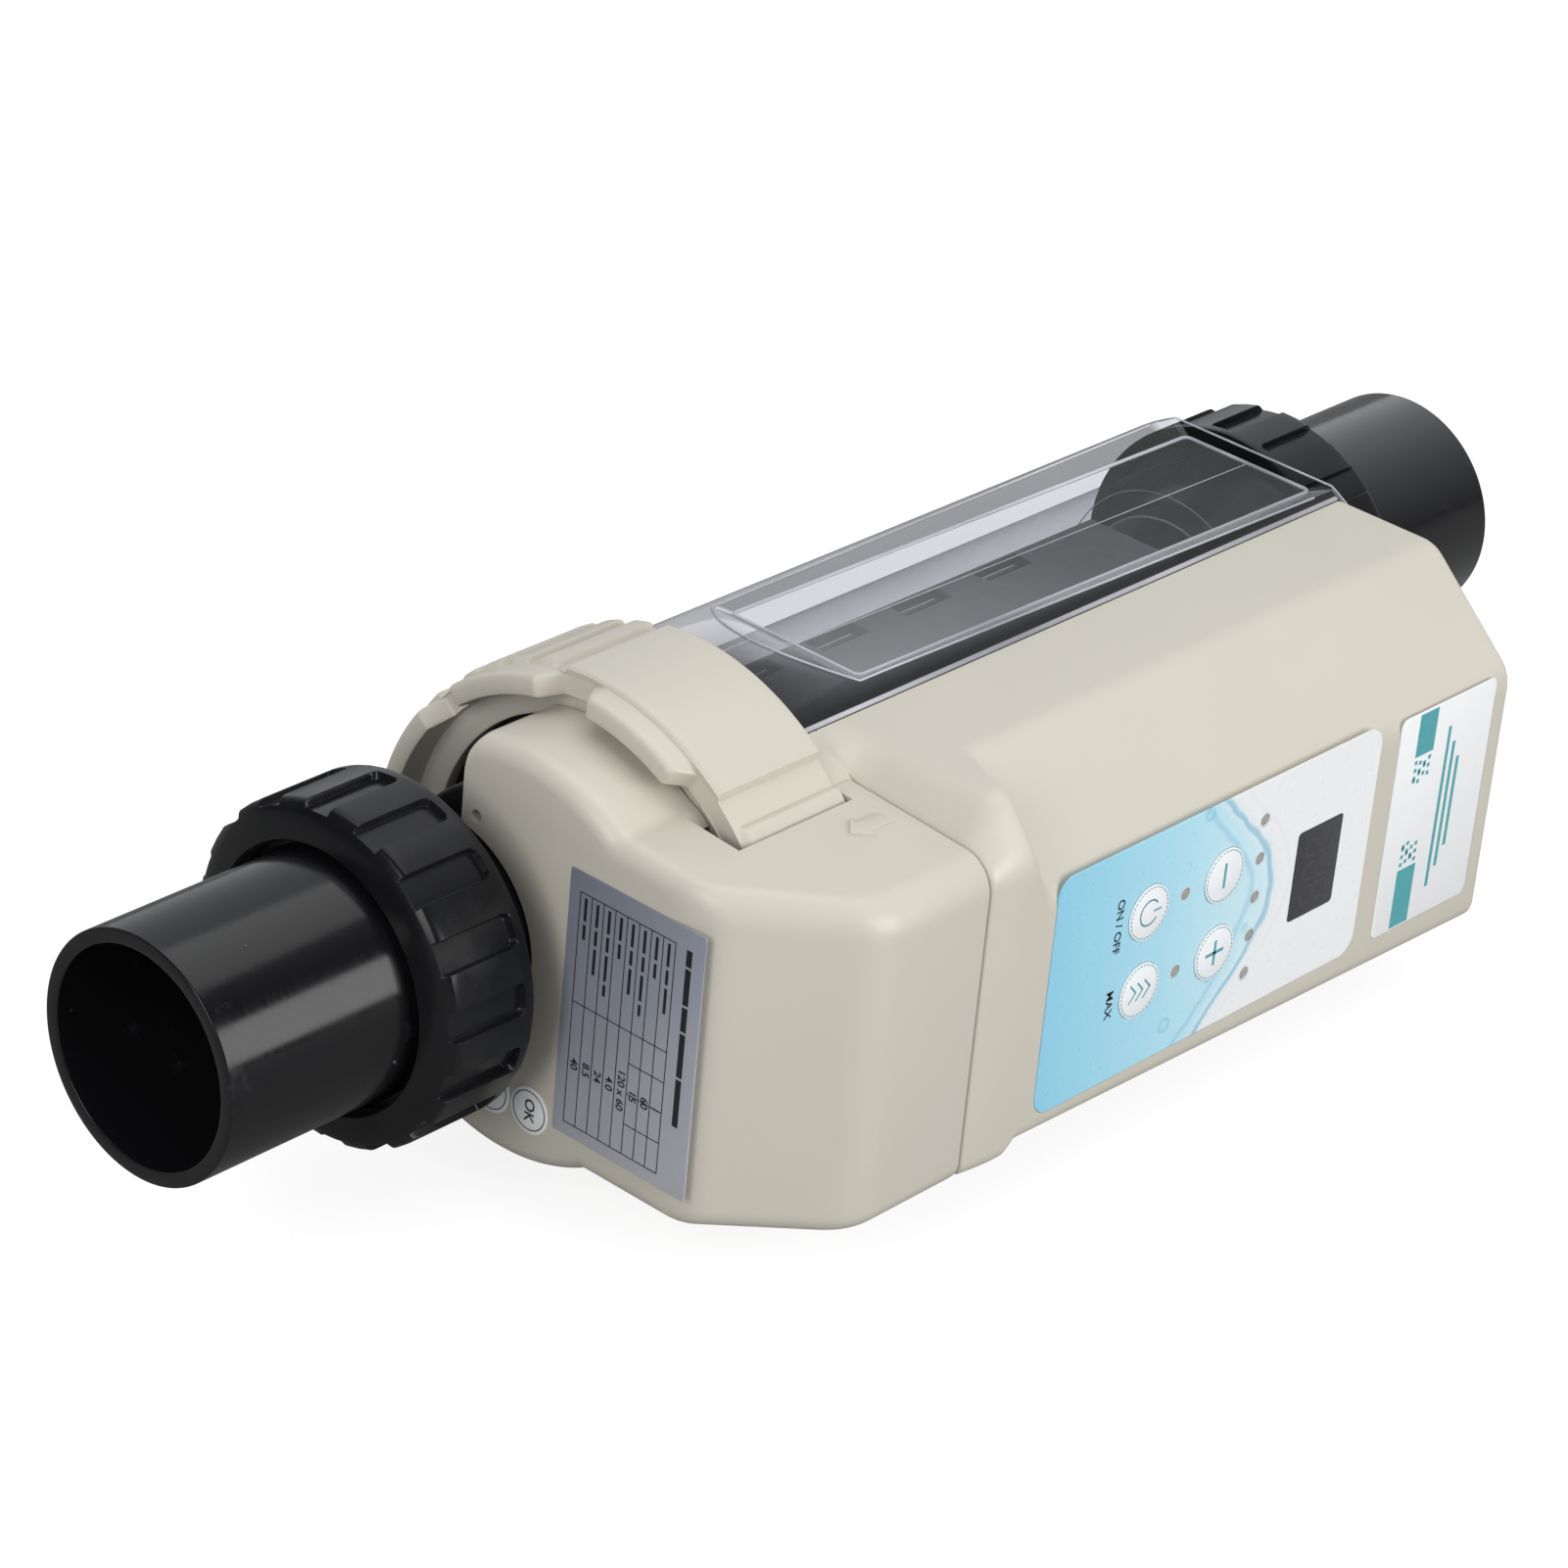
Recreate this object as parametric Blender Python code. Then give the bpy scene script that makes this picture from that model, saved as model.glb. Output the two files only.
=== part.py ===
"""Salt chlorine generator: a clear electrolysis cell between two pipe unions, with its electronics housing.

World frame: +X runs along the pipe axis from the head end to the far end, the control panel faces -Y, +Z is up,
and the pipe axis is the line y = z = 0. The cell, its lock ring and its head share a second axis, beside it.
Lengths are in millimetres until a mesh is made, which turns them into metres.
"""

import math

import bmesh
import bpy
from mathutils import Matrix, Vector

MM = 0.001

# Shared lines and clearances
TOTAL_LENGTH = 455.0
CELL_Y = -20.0
FIT = 0.3
STICKER_FIT = 0.05
SEAL_FIT = 0.12
ROUND_STEPS = 36
UNION_STEPS = 28
CELL_STEPS = 44
WIRE_STEPS = 5
SMALL_STEPS = 28
HOLE_STEPS = 12
START_SHIFT = 0.17

# Tail pipes and union nuts, measured from the head end and mirrored for the far end
PIPE_OUTER_RADIUS = 30.15
PIPE_WALL = 3.9
PIPE_BORE_RADIUS = PIPE_OUTER_RADIUS - PIPE_WALL
PIPE_STOP_RADIUS = PIPE_BORE_RADIUS - 1.65
PIPE_STOP_X = 48.0
TAIL_FLANGE_RADIUS = PIPE_OUTER_RADIUS + 6.65
TAIL_FLANGE_THICKNESS = 5.4
NUT_MOUTH_X = 53.2
NUT_KNEE_X = 56.2
NUT_REAR_X = 80.2
NUT_WALL = 4.8
NUT_THROAT_RADIUS = PIPE_OUTER_RADIUS + 2.25
NUT_FACE_THICKNESS = 5.0
NUT_POCKETS = 16
NUT_POCKET_DEPTH = 1.5
NUT_POCKET_SHARE = 0.5
NUT_POCKET_START = 7.2
NUT_REAR_BAND = 2.8
UNION_RADIUS = TAIL_FLANGE_RADIUS + 0.5
UNION_END_X = NUT_REAR_X - 0.6
NUT_RADIUS = UNION_RADIUS + NUT_WALL
PORT_BORE_RADIUS = PIPE_STOP_RADIUS - 0.6
NECK_RADIUS = PORT_BORE_RADIUS + 3.0
SEAL_RADIUS = UNION_RADIUS - 5.8
SEAL_WIRE = 1.75

# Lock ring
RING_RADIUS = 63.5
RING_BAND = 3.5
RIB_HEIGHT = 1.9
LOW_RIB_HEIGHT = 1.4
RING_INNER_RADIUS = RING_RADIUS - RING_BAND
RING_VALLEY_RADIUS = RING_RADIUS - RIB_HEIGHT
RIB_RADIUS = RING_VALLEY_RADIUS + LOW_RIB_HEIGHT
RING_LIP_RADIUS = RING_RADIUS - 13.9
RING_NEAR_X = 117.0
RING_FAR_X = 150.7
RING_WEB_X = 119.5
RING_WEB_THICKNESS = 3.6
LUG_FRONT_X = 110.8
LUG_OUTER_RADIUS = RING_RADIUS - 1.5
LUG_INNER_RADIUS = RING_RADIUS - 7.0
LUG_SPANS = ((-32.0, 0.0), (9.0, 44.5), (50.0, 86.0), (91.0, 127.0))
LUG_RAMP = 5.0
PAD_END = 9.0
PAD_SPAN = 47.0
PAD_STEPS = 4
RIB_START = 7.2
RIB_PITCH = 8.6
RIB_SPAN = 5.0
RIBS_BETWEEN_PADS = 4
FLANK_SPAN = 0.9

# Clear cell, inside the lock ring
THREAD_FIT = 0.4
CELL_THREAD_RADIUS = RING_INNER_RADIUS - THREAD_FIT
CELL_RADIUS = CELL_THREAD_RADIUS - 2.6
CELL_WALL = 10.5
CELL_BORE_RADIUS = CELL_RADIUS - CELL_WALL
HEAD_FLANGE_THICKNESS = 4.8
CELL_MOUTH_X = RING_WEB_X + RING_WEB_THICKNESS + FIT + HEAD_FLANGE_THICKNESS + FIT
CELL_THREAD_END_X = RING_FAR_X - 1.7
CELL_END_X = TOTAL_LENGTH - 97.6
CELL_END_WALL = 5.0
WINDOW_Z = CELL_RADIUS - 6.8
WINDOW_X = (184.0, CELL_END_X - 8.4)
WINDOW_HALF_WIDTH = 21.2
WINDOW_SLOPE = math.tan(math.radians(22.0))

# Head and electrode cassette
HEAD_FLANGE_RADIUS = CELL_THREAD_RADIUS - 1.2
HEAD_BOSS_RADIUS = 40.4
HEAD_BOSS_X = 97.0
HEAD_PLUG_DEPTH = 7.0
HEAD_POCKET_Y = (CELL_Y - 60.0, CELL_Y - 10.0)
HEAD_POCKET_Z = (-24.0, 24.0)
HEAD_POCKET_DEPTH = 13.0
HEAD_SEAL_RADIUS = (CELL_BORE_RADIUS + HEAD_FLANGE_RADIUS) / 2
CASSETTE_HALF_WIDTH = 25.0
CASSETTE_TOP_Z = 31.0
CASSETTE_RAIL = 3.0
CASSETTE_EDGE = 1.0
CASSETTE_END_X = CELL_END_X - 31.4
CASSETTE_SLOT_PITCH = 30.6
CASSETTE_SLOT_LENGTH = 17.0
CASSETTE_SLOT_WIDTH = 6.0
CASSETTE_SLOT_START_X = 186.0
PLATE_COUNT = 7
PLATE_THICKNESS = 1.2
PLATE_MARGIN = 3.4
PLATE_START = 9.0
PLATE_SEAT = 1.4
TERMINAL_Y = CELL_Y - 23.0
TERMINAL_Z = 15.0
TERMINAL_RADIUS = 3.0
PROBE_OFFSET = 8.0
PROBE_RADIUS = 4.0

# Head cover
COVER_X = 93.6
COVER_WALL = 2.6
SEAM_X = 157.6
SEAM_GAP = 0.5
SEAM_STEP = 1.2
PLUG_DEPTH = 15.5
PLUG_LENGTH = 12.5
PLUG_Z = (-12.0, 12.0)
SOCKET_LENGTH = 17.5
COVER_EDGE_Y = -3.0
COVER_ARCH_RADIUS = RING_RADIUS - 11.1
COVER_BLEND = 8.0
COVER_TOP_Z = 43.0
COVER_TOP_DROP = 3.8
COVER_SIDE_Y = CELL_Y - RING_RADIUS - 22.5
COVER_FACE_Y = COVER_SIDE_Y + 29.0
COVER_FACE_FILLET = 14.0
COVER_BOTTOM_Z = -45.3
COVER_CORNER = 9.0
COVER_LOW_CORNER = 5.0
COVER_FRONT_FILLET = 3.5
SLOT_FRONT_X = 113.7
SLOT_RADIUS = RING_RADIUS + 0.8
SLOT_INNER_RADIUS = RING_LIP_RADIUS + 3.6
COVER_HOLE = (-7.6, NECK_RADIUS + 4.0)
COVER_HOLE_RADIUS = 1.6
RATING_LABEL_Y = (-79.4, -38.0)
RATING_LABEL_Z = (-36.6, 31.7)
STICKER_Z = -35.8
STICKERS = (("approval_sticker", -18.0, 6.2), ("inspection_sticker", -30.6, 6.0))

# Electronics housing
HOUSING_END_X = CELL_END_X - 0.4
HOUSING_END_FILLET = 3.2
HOUSING_TOP_Z = 48.9
HOUSING_SIDE_Y = COVER_SIDE_Y - SEAM_STEP
HOUSING_CREASE_Y = HOUSING_SIDE_Y + 27.7
HOUSING_CREASE_Z = 23.5
HOUSING_TOP_CORNER_Y = HOUSING_SIDE_Y + 43.2
HOUSING_COLLAR_CREASE_Y = HOUSING_SIDE_Y + 10.2
HOUSING_COLLAR_CREASE_Z = 36.0
HOUSING_RISE = 12.5
HOUSING_TURN = 9.0
HOUSING_BOTTOM_NEAR_Z = -41.5
HOUSING_BOTTOM_FAR_Z = -46.3
HOUSING_COLLAR_Z = -44.6
HOUSING_COLLAR_END_X = 174.5
HOUSING_WALL = 2.8
LINER_THICKNESS = 2.4
LINER_RADIUS = CELL_RADIUS + FIT
INLET_X = HOUSING_END_X - 27.0
INLET_Y = HOUSING_SIDE_Y + 19.2
INLET_RADIUS = 7.7
INLET_RIM_RADIUS = 10.4
INLET_BORE_RADIUS = 5.0

# Control panel; x offsets run from the seam and stretch with the housing
PANEL_LENGTH = 199.4
PANEL_STRETCH = (HOUSING_END_X - SEAM_X) / PANEL_LENGTH
PANEL_OFFSETS = (23.7, 145.4)
PANEL_Z = (-36.4, 26.6)
PANEL_CORNER = 5.5
OVERLAY_THICKNESS = 0.5
PANEL_RECESS = 0.5
BUTTON_RADIUS = 7.2
BUTTON_SPOTS = {
    "standby_button": (58.8, 6.0),
    "boost_button": (58.8, -15.0),
    "minus_button": (87.0, 5.8),
    "plus_button": (87.0, -15.2),
}
BUTTON_TRAVEL = 0.4
BUTTON_DOME = 0.35
BUTTON_EDGE = 0.8
SWITCH_RADIUS = 3.4
KEY_HOLE_RADIUS = 4.0
INDICATOR_RADIUS = 1.5
INDICATOR_SPOTS = (
    (72.5, 5.9),
    (72.5, -15.0),
    (100.8, 15.9),
    (100.8, 5.4),
    (100.8, -5.1),
    (100.8, -15.6),
    (100.8, -26.1),
)
DISPLAY_OFFSETS = (115.7, 133.4)
DISPLAY_Z = (-18.0, 6.8)
DISPLAY_BORDER = 1.2
MODULE_BORDER = 2.0
SERIES_LABEL_OFFSETS = (153.2, 192.2)
SERIES_LABEL_Z = (-36.6, 24.6)
LABEL_THICKNESS = 0.35
LABEL_CORNER = 2.4
BOARD_THICKNESS = 1.6
BOARD_Y = HOUSING_SIDE_Y + 15.2
BOARD_END = 158.4
BOARD_Z = (-34.0, 20.0)
DRIVER_OFFSETS = (38.4, 92.4)
DRIVER_Z = (-26.0, 6.0)
DRIVER_HEIGHT = 6.2

COLOURS = {
    "black": (0.012, 0.012, 0.014),
    "beige": (0.72, 0.69, 0.60),
    "clear": (0.75, 0.77, 0.80),
    "dark_grey": (0.05, 0.05, 0.055),
    "titanium": (0.33, 0.32, 0.31),
    "rubber": (0.02, 0.02, 0.02),
    "sky": (0.42, 0.74, 0.88),
    "white": (0.85, 0.86, 0.86),
    "silver": (0.45, 0.47, 0.52),
    "green": (0.03, 0.22, 0.10),
    "copper": (0.60, 0.30, 0.16),
    "red": (0.45, 0.03, 0.02),
    "smoke": (0.02, 0.02, 0.025),
    "amber": (0.30, 0.27, 0.24),
}


# Mesh building


def clear_scene():
    """Removes the startup objects."""
    for obj in list(bpy.data.objects):
        bpy.data.objects.remove(obj, do_unlink=True)


def make_mesh(name, points, faces):
    """A mesh in metres, with its faces turned outward."""
    mesh = bpy.data.meshes.new(name)
    mesh.from_pydata([[c * MM for c in p] for p in points], [], faces)
    work = bmesh.new()
    work.from_mesh(mesh)
    bmesh.ops.recalc_face_normals(work, faces=work.faces)
    work.to_mesh(mesh)
    work.free()
    return mesh


def solid(points, faces, name="solid"):
    """An object that holds one closed body."""
    obj = bpy.data.objects.new(name, make_mesh(name, points, faces))
    bpy.context.scene.collection.objects.link(obj)
    return obj


def lathe(profile, centre_y=0.0, steps=ROUND_STEPS):
    """A body turned about the line y = centre_y, z = 0 from a closed loop of (x, radius)."""
    points = []
    for k in range(steps):
        angle = 2 * math.pi * k / steps
        for x, radius in profile:
            points.append((x, centre_y - radius * math.sin(angle), radius * math.cos(angle)))
    count = len(profile)
    faces = []
    for k in range(steps):
        here = k * count
        there = (k + 1) % steps * count
        for i in range(count):
            j = (i + 1) % count
            faces.append((here + i, here + j, there + j, there + i))
    return solid(points, faces)


def cylinder(x_from, x_to, radius, centre=(0.0, 0.0), steps=SMALL_STEPS):
    """A solid rod along X."""
    outline = circle(radius, centre, steps)
    return loft([[(x, y, z) for y, z in outline] for x in (x_from, x_to)])


def circle(radius, centre, steps=SMALL_STEPS):
    """Points of a circle round centre."""
    turns = [2 * math.pi * (k + START_SHIFT) / steps for k in range(steps)]
    return [(centre[0] + radius * math.cos(a), centre[1] + radius * math.sin(a)) for a in turns]


def loft(sections):
    """A body through closed outlines that have one number of points, capped at both ends."""
    count = len(sections[0])
    points = [p for section in sections for p in section]
    faces = [tuple(range(count)), tuple(range(len(points) - count, len(points)))]
    for s in range(len(sections) - 1):
        here = s * count
        there = here + count
        for i in range(count):
            j = (i + 1) % count
            faces.append((here + i, here + j, there + j, there + i))
    return solid(points, faces)


def block(x, y, z):
    """A box from three (low, high) pairs."""
    outline = [(y[0], z[0]), (y[1], z[0]), (y[1], z[1]), (y[0], z[1])]
    return loft([[(end, a, b) for a, b in outline] for end in x])


def side_plate(x, z, corner, y_from, y_to, steps=5):
    """A sheet with rounded corners that lies in the XZ plane."""
    outline = rounded_box(x, z, corner, steps)
    return loft([[(a, y, b) for a, b in outline] for y in (y_from, y_to)])


def face_plate(y, z, corner, x_from, x_to, steps=4):
    """A sheet with rounded corners that lies in the YZ plane."""
    outline = rounded_box(y, z, corner, steps)
    return loft([[(x, a, b) for a, b in outline] for x in (x_from, x_to)])


def rounded_box(a, b, corner, steps):
    """Outline of a rectangle with rounded corners."""
    corners = [(a[0], b[0]), (a[1], b[0]), (a[1], b[1]), (a[0], b[1])]
    return fillet_outline([(p[0], p[1], corner) for p in corners], steps)


def fillet_outline(corners, steps):
    """Closed outline through (a, b, radius) corners, each rounded with its own radius."""
    outline = []
    count = len(corners)
    for i, (a, b, radius) in enumerate(corners):
        here = Vector((a, b))
        back = (Vector(corners[i - 1][:2]) - here).normalized()
        ahead = (Vector(corners[(i + 1) % count][:2]) - here).normalized()
        outline.extend(fillet(here, back, ahead, radius, steps))
    return outline


def fillet(corner, back, ahead, radius, steps):
    """Points of the arc that rounds one corner between two unit directions."""
    half = math.acos(max(-1.0, min(1.0, back.dot(ahead)))) / 2
    reach = radius / math.tan(half)
    centre = corner + (back + ahead).normalized() * (radius / math.sin(half))
    start = corner + back * reach - centre
    end = corner + ahead * reach - centre
    turn = math.atan2(start.x * end.y - start.y * end.x, start.dot(end))
    arc = []
    for k in range(steps + 1):
        spun = Matrix.Rotation(turn * k / steps, 2) @ start
        arc.append(tuple(centre + spun))
    return arc


def arc_points(centre, radius, first, last, steps):
    """Points (y, z) of an arc; angles in degrees from the top, positive toward +Y."""
    points = []
    for k in range(steps + 1):
        angle = math.radians(first + (last - first) * k / steps)
        points.append((centre[0] + radius * math.sin(angle), centre[1] + radius * math.cos(angle)))
    return points


def combine(target, tools, operation):
    """Joins or cuts target with each tool, and removes the tools."""
    for tool in tools:
        modifier = target.modifiers.new(operation.lower(), "BOOLEAN")
        modifier.operation = operation
        modifier.solver = "EXACT"
        modifier.object = tool
        bpy.context.view_layer.update()
        graph = bpy.context.evaluated_depsgraph_get()
        mesh = bpy.data.meshes.new_from_object(target.evaluated_get(graph))
        target.modifiers.clear()
        target.data = mesh
        bpy.data.objects.remove(tool, do_unlink=True)
    return target


def join(target, *tools):
    return combine(target, tools, "UNION")


def cut(target, *tools):
    return combine(target, tools, "DIFFERENCE")


def together(tools):
    """One cutter from several bodies that don't touch each other."""
    work = bmesh.new()
    for tool in tools:
        work.from_mesh(tool.data)
        bpy.data.objects.remove(tool, do_unlink=True)
    mesh = bpy.data.meshes.new("cutter")
    work.to_mesh(mesh)
    work.free()
    obj = bpy.data.objects.new("cutter", mesh)
    bpy.context.scene.collection.objects.link(obj)
    return obj


def far_x(x):
    """The place at the far end that mirrors x at the head end."""
    return TOTAL_LENGTH - x


def panel_x(offset):
    """X of a place on the panel, offset from the seam on a housing of the usual length."""
    return SEAM_X + offset * PANEL_STRETCH


def panel_span(offsets):
    return (panel_x(offsets[0]), panel_x(offsets[1]))


def grown(span, by):
    """A (low, high) pair with both ends moved out."""
    return (span[0] - by, span[1] + by)


def mirrored(profile):
    """A lathe profile turned round for the far end."""
    return [(far_x(x), radius) for x, radius in profile]


def finish(obj, name, colour, origin=(0.0, 0.0, 0.0), parent=None, roughness=0.4, metallic=0.0):
    """Names the node, gives it its material, and puts its origin on its own axis."""
    obj.name = name
    obj.data.name = name
    place = Vector(origin) * MM
    obj.data.transform(Matrix.Translation(-place))
    obj.location = place
    obj.data.materials.clear()
    obj.data.materials.append(make_material(name, COLOURS[colour], roughness, metallic))
    if parent is not None:
        obj.parent = parent
        obj.location = place - parent.location
    return obj


def make_material(name, colour, roughness, metallic):
    material = bpy.data.materials.new(name)
    material.use_nodes = True
    shader = material.node_tree.nodes["Principled BSDF"]
    shader.inputs["Base Color"].default_value = (*colour, 1.0)
    shader.inputs["Roughness"].default_value = roughness
    shader.inputs["Metallic"].default_value = metallic
    return material


# Pipe unions


def flange_back_x():
    """Back of the tail pipe's flange, which the nut's face pulls on."""
    return NUT_MOUTH_X + NUT_FACE_THICKNESS + FIT


def union_face_x():
    """Where the threaded end of the cell side stops, against the tail pipe's flange."""
    return flange_back_x() + TAIL_FLANGE_THICKNESS + FIT


def tail_pipe_profile():
    flange_back = flange_back_x()
    flange_face = flange_back + TAIL_FLANGE_THICKNESS
    return [
        (0.0, PIPE_BORE_RADIUS),
        (PIPE_STOP_X, PIPE_BORE_RADIUS),
        (PIPE_STOP_X, PIPE_STOP_RADIUS),
        (flange_face, PIPE_STOP_RADIUS),
        (flange_face, TAIL_FLANGE_RADIUS),
        (flange_back, TAIL_FLANGE_RADIUS),
        (flange_back, PIPE_OUTER_RADIUS),
        (1.0, PIPE_OUTER_RADIUS),
        (0.0, PIPE_OUTER_RADIUS - 1.0),
    ]


def nut_profile(outer):
    """Loop of the nut's section where its grip surface has radius outer."""
    thread = UNION_RADIUS + FIT
    knee = NUT_KNEE_X - (NUT_RADIUS - outer) * 0.5
    return [
        (NUT_MOUTH_X, NUT_THROAT_RADIUS),
        (NUT_MOUTH_X + 1.9, outer - 2.0),
        (knee, outer),
        (NUT_REAR_X - NUT_REAR_BAND - 0.6, outer),
        (NUT_REAR_X - NUT_REAR_BAND, NUT_RADIUS),
        (NUT_REAR_X, NUT_RADIUS),
        (NUT_REAR_X, thread),
        (NUT_MOUTH_X + NUT_FACE_THICKNESS, thread),
        (NUT_MOUTH_X + NUT_FACE_THICKNESS, NUT_THROAT_RADIUS),
    ]


def swept_ring(sections, centre_y):
    """A closed ring from (angle, loop of (x, radius)) pairs that go once round."""
    points = []
    count = len(sections[0][1])
    for angle, loop in sections:
        turn = math.radians(angle)
        for x, radius in loop:
            points.append((x, centre_y + radius * math.sin(turn), radius * math.cos(turn)))
    faces = []
    total = len(sections)
    for k in range(total):
        here = k * count
        there = (k + 1) % total * count
        for i in range(count):
            j = (i + 1) % count
            faces.append((here + i, here + j, there + j, there + i))
    return solid(points, faces)


def nut_sections(place):
    """Grip pockets and the ribs between them, round the nut."""
    pitch = 360.0 / NUT_POCKETS
    floor = NUT_RADIUS - NUT_POCKET_DEPTH
    half = pitch * NUT_POCKET_SHARE / 2
    inner = half - FLANK_SPAN
    steps = ((-inner, floor), (inner, floor), (half, NUT_RADIUS), (pitch - half, NUT_RADIUS))
    sections = []
    for k in range(NUT_POCKETS):
        middle = NUT_POCKET_START + k * pitch
        for offset, outer in steps:
            sections.append((middle + offset, place(nut_profile(outer))))
    return sections


def add_union(prefix, place, parent, nut_parent):
    """Tail pipe, nut and face seal of one end; place puts a head end profile where it belongs."""
    pipe = lathe(place(tail_pipe_profile()), steps=UNION_STEPS)
    finish(pipe, prefix + "_tail_pipe", "black", parent=parent, roughness=0.28)
    nut = swept_ring(nut_sections(place), 0.0)
    middle = place([(NUT_REAR_X, 0.0)])[0][0]
    finish(nut, prefix + "_union_nut", "black", (middle, 0.0, 0.0), nut_parent, roughness=0.35)
    groove_x = union_face_x() + SEAL_WIRE - FIT + SEAL_FIT
    wire = [(groove_x + a, b) for a, b in circle(SEAL_WIRE, (0.0, SEAL_RADIUS), WIRE_STEPS)]
    seal = lathe(place(wire), steps=UNION_STEPS)
    finish(seal, prefix + "_union_seal", "rubber", parent=parent, roughness=0.6)


def union_stub(place, neck_end):
    """The threaded end that the nut screws on, with the neck behind it, as a solid rod to bore later."""
    face = union_face_x()
    axis = 2.0
    groove = SEAL_WIRE + SEAL_FIT
    depth = 2 * SEAL_WIRE - FIT + 2 * SEAL_FIT
    loop = [
        (face, axis),
        (face, SEAL_RADIUS - groove),
        (face + depth, SEAL_RADIUS - groove),
        (face + depth, SEAL_RADIUS + groove),
        (face, SEAL_RADIUS + groove),
        (face, UNION_RADIUS),
        (UNION_END_X, UNION_RADIUS),
        (UNION_END_X, NECK_RADIUS),
        (neck_end, NECK_RADIUS),
        (neck_end, axis),
    ]
    return lathe(place(loop), steps=UNION_STEPS)


# Clear cell


def window_cutter():
    """The shallow tray with sloping borders that the flat window sits in."""
    sections = []
    for rise in (0.0, 12.0):
        spread = rise / WINDOW_SLOPE
        z = WINDOW_Z + rise
        half = WINDOW_HALF_WIDTH + spread
        x_low = WINDOW_X[0] - spread
        x_high = WINDOW_X[1] + spread
        corner = 3.0 + spread * 0.2
        outline = rounded_box((x_low, x_high), (CELL_Y - half, CELL_Y + half), corner, 3)
        sections.append([(a, b, z) for a, b in outline])
    return loft(sections)


def add_clear_cell():
    """Round vessel with a flat window, a closed far end and the far union's threaded port."""
    body = lathe(
        [
            (CELL_MOUTH_X, CELL_BORE_RADIUS),
            (CELL_MOUTH_X, CELL_THREAD_RADIUS),
            (CELL_THREAD_END_X, CELL_THREAD_RADIUS),
            (CELL_THREAD_END_X, CELL_RADIUS),
            (CELL_END_X - 1.6, CELL_RADIUS),
            (CELL_END_X, CELL_RADIUS - 1.6),
            (CELL_END_X, 4.0),
            (CELL_END_X - CELL_END_WALL, 4.0),
            (CELL_END_X - CELL_END_WALL, CELL_BORE_RADIUS),
        ],
        CELL_Y,
        steps=CELL_STEPS,
    )
    plug = cylinder(CELL_END_X - CELL_END_WALL + 0.5, CELL_END_X - 0.5, 8.0, (CELL_Y, 0.0))
    stub = union_stub(mirrored, far_x(CELL_END_X) + 1.0)
    join(body, plug, stub)
    bore = cylinder(CELL_END_X - CELL_END_WALL - 4.0, TOTAL_LENGTH, PORT_BORE_RADIUS)
    cut(body, bore, window_cutter())
    return finish(body, "clear_cell", "clear", roughness=0.08)


# Head, seals and electrodes


def add_head(carriage):
    """Black end moulding that closes the cell and carries the port, the terminals and the electrodes."""
    web_back = RING_WEB_X + RING_WEB_THICKNESS + FIT
    seat = CELL_MOUTH_X - FIT
    groove = SEAL_WIRE + SEAL_FIT
    depth = 2 * SEAL_WIRE - FIT + 2 * SEAL_FIT
    body = lathe(
        [
            (HEAD_BOSS_X, 3.0),
            (HEAD_BOSS_X, HEAD_BOSS_RADIUS),
            (web_back, HEAD_BOSS_RADIUS),
            (web_back, HEAD_FLANGE_RADIUS),
            (seat, HEAD_FLANGE_RADIUS),
            (seat, HEAD_SEAL_RADIUS + groove),
            (seat - depth, HEAD_SEAL_RADIUS + groove),
            (seat - depth, HEAD_SEAL_RADIUS - groove),
            (seat, HEAD_SEAL_RADIUS - groove),
            (seat, CELL_BORE_RADIUS - FIT),
            (seat + HEAD_PLUG_DEPTH, CELL_BORE_RADIUS - FIT),
            (seat + HEAD_PLUG_DEPTH, 3.0),
        ],
        CELL_Y,
    )
    core = cylinder(HEAD_BOSS_X + 2.0, seat + HEAD_PLUG_DEPTH - 1.0, 6.0, (CELL_Y, 0.0))
    join(body, core, union_stub(list, web_back + 1.0))
    bore = cylinder(union_face_x() - 1.0, seat + HEAD_PLUG_DEPTH + 1.0, PORT_BORE_RADIUS)
    pocket = block((HEAD_BOSS_X - 1.0, HEAD_BOSS_X + HEAD_POCKET_DEPTH), HEAD_POCKET_Y, HEAD_POCKET_Z)
    cut(body, bore, pocket)
    end = seat + HEAD_PLUG_DEPTH + 1.0
    holes = []
    for y, z, radius in terminal_spots():
        holes.append(cylinder(HEAD_BOSS_X, end, radius + FIT, (y, z), HOLE_STEPS))
    cut(body, together(holes))
    return finish(body, "electrode_head", "black", parent=carriage, roughness=0.4)


def terminal_spots():
    """Places of the two electrode terminals and of the probe, with their radii."""
    return (
        (TERMINAL_Y, TERMINAL_Z, TERMINAL_RADIUS),
        (TERMINAL_Y, -TERMINAL_Z, TERMINAL_RADIUS),
        (TERMINAL_Y - PROBE_OFFSET, 0.0, PROBE_RADIUS),
    )


def add_head_seal(carriage):
    middle = CELL_MOUTH_X - FIT + FIT / 2 - SEAL_WIRE + 0.02
    wire = [(middle + a, b) for a, b in circle(SEAL_WIRE, (0.0, HEAD_SEAL_RADIUS), WIRE_STEPS)]
    finish(lathe(wire, CELL_Y), "head_seal", "rubber", parent=carriage, roughness=0.6)


def cassette_start_x():
    return CELL_MOUTH_X - FIT + HEAD_PLUG_DEPTH + FIT


def plate_pitch():
    return 2 * (CASSETTE_HALF_WIDTH - PLATE_MARGIN) / (PLATE_COUNT - 1)


def plate_places():
    first = CELL_Y - plate_pitch() * (PLATE_COUNT - 1) / 2
    return [first + plate_pitch() * k for k in range(PLATE_COUNT)]


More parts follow.
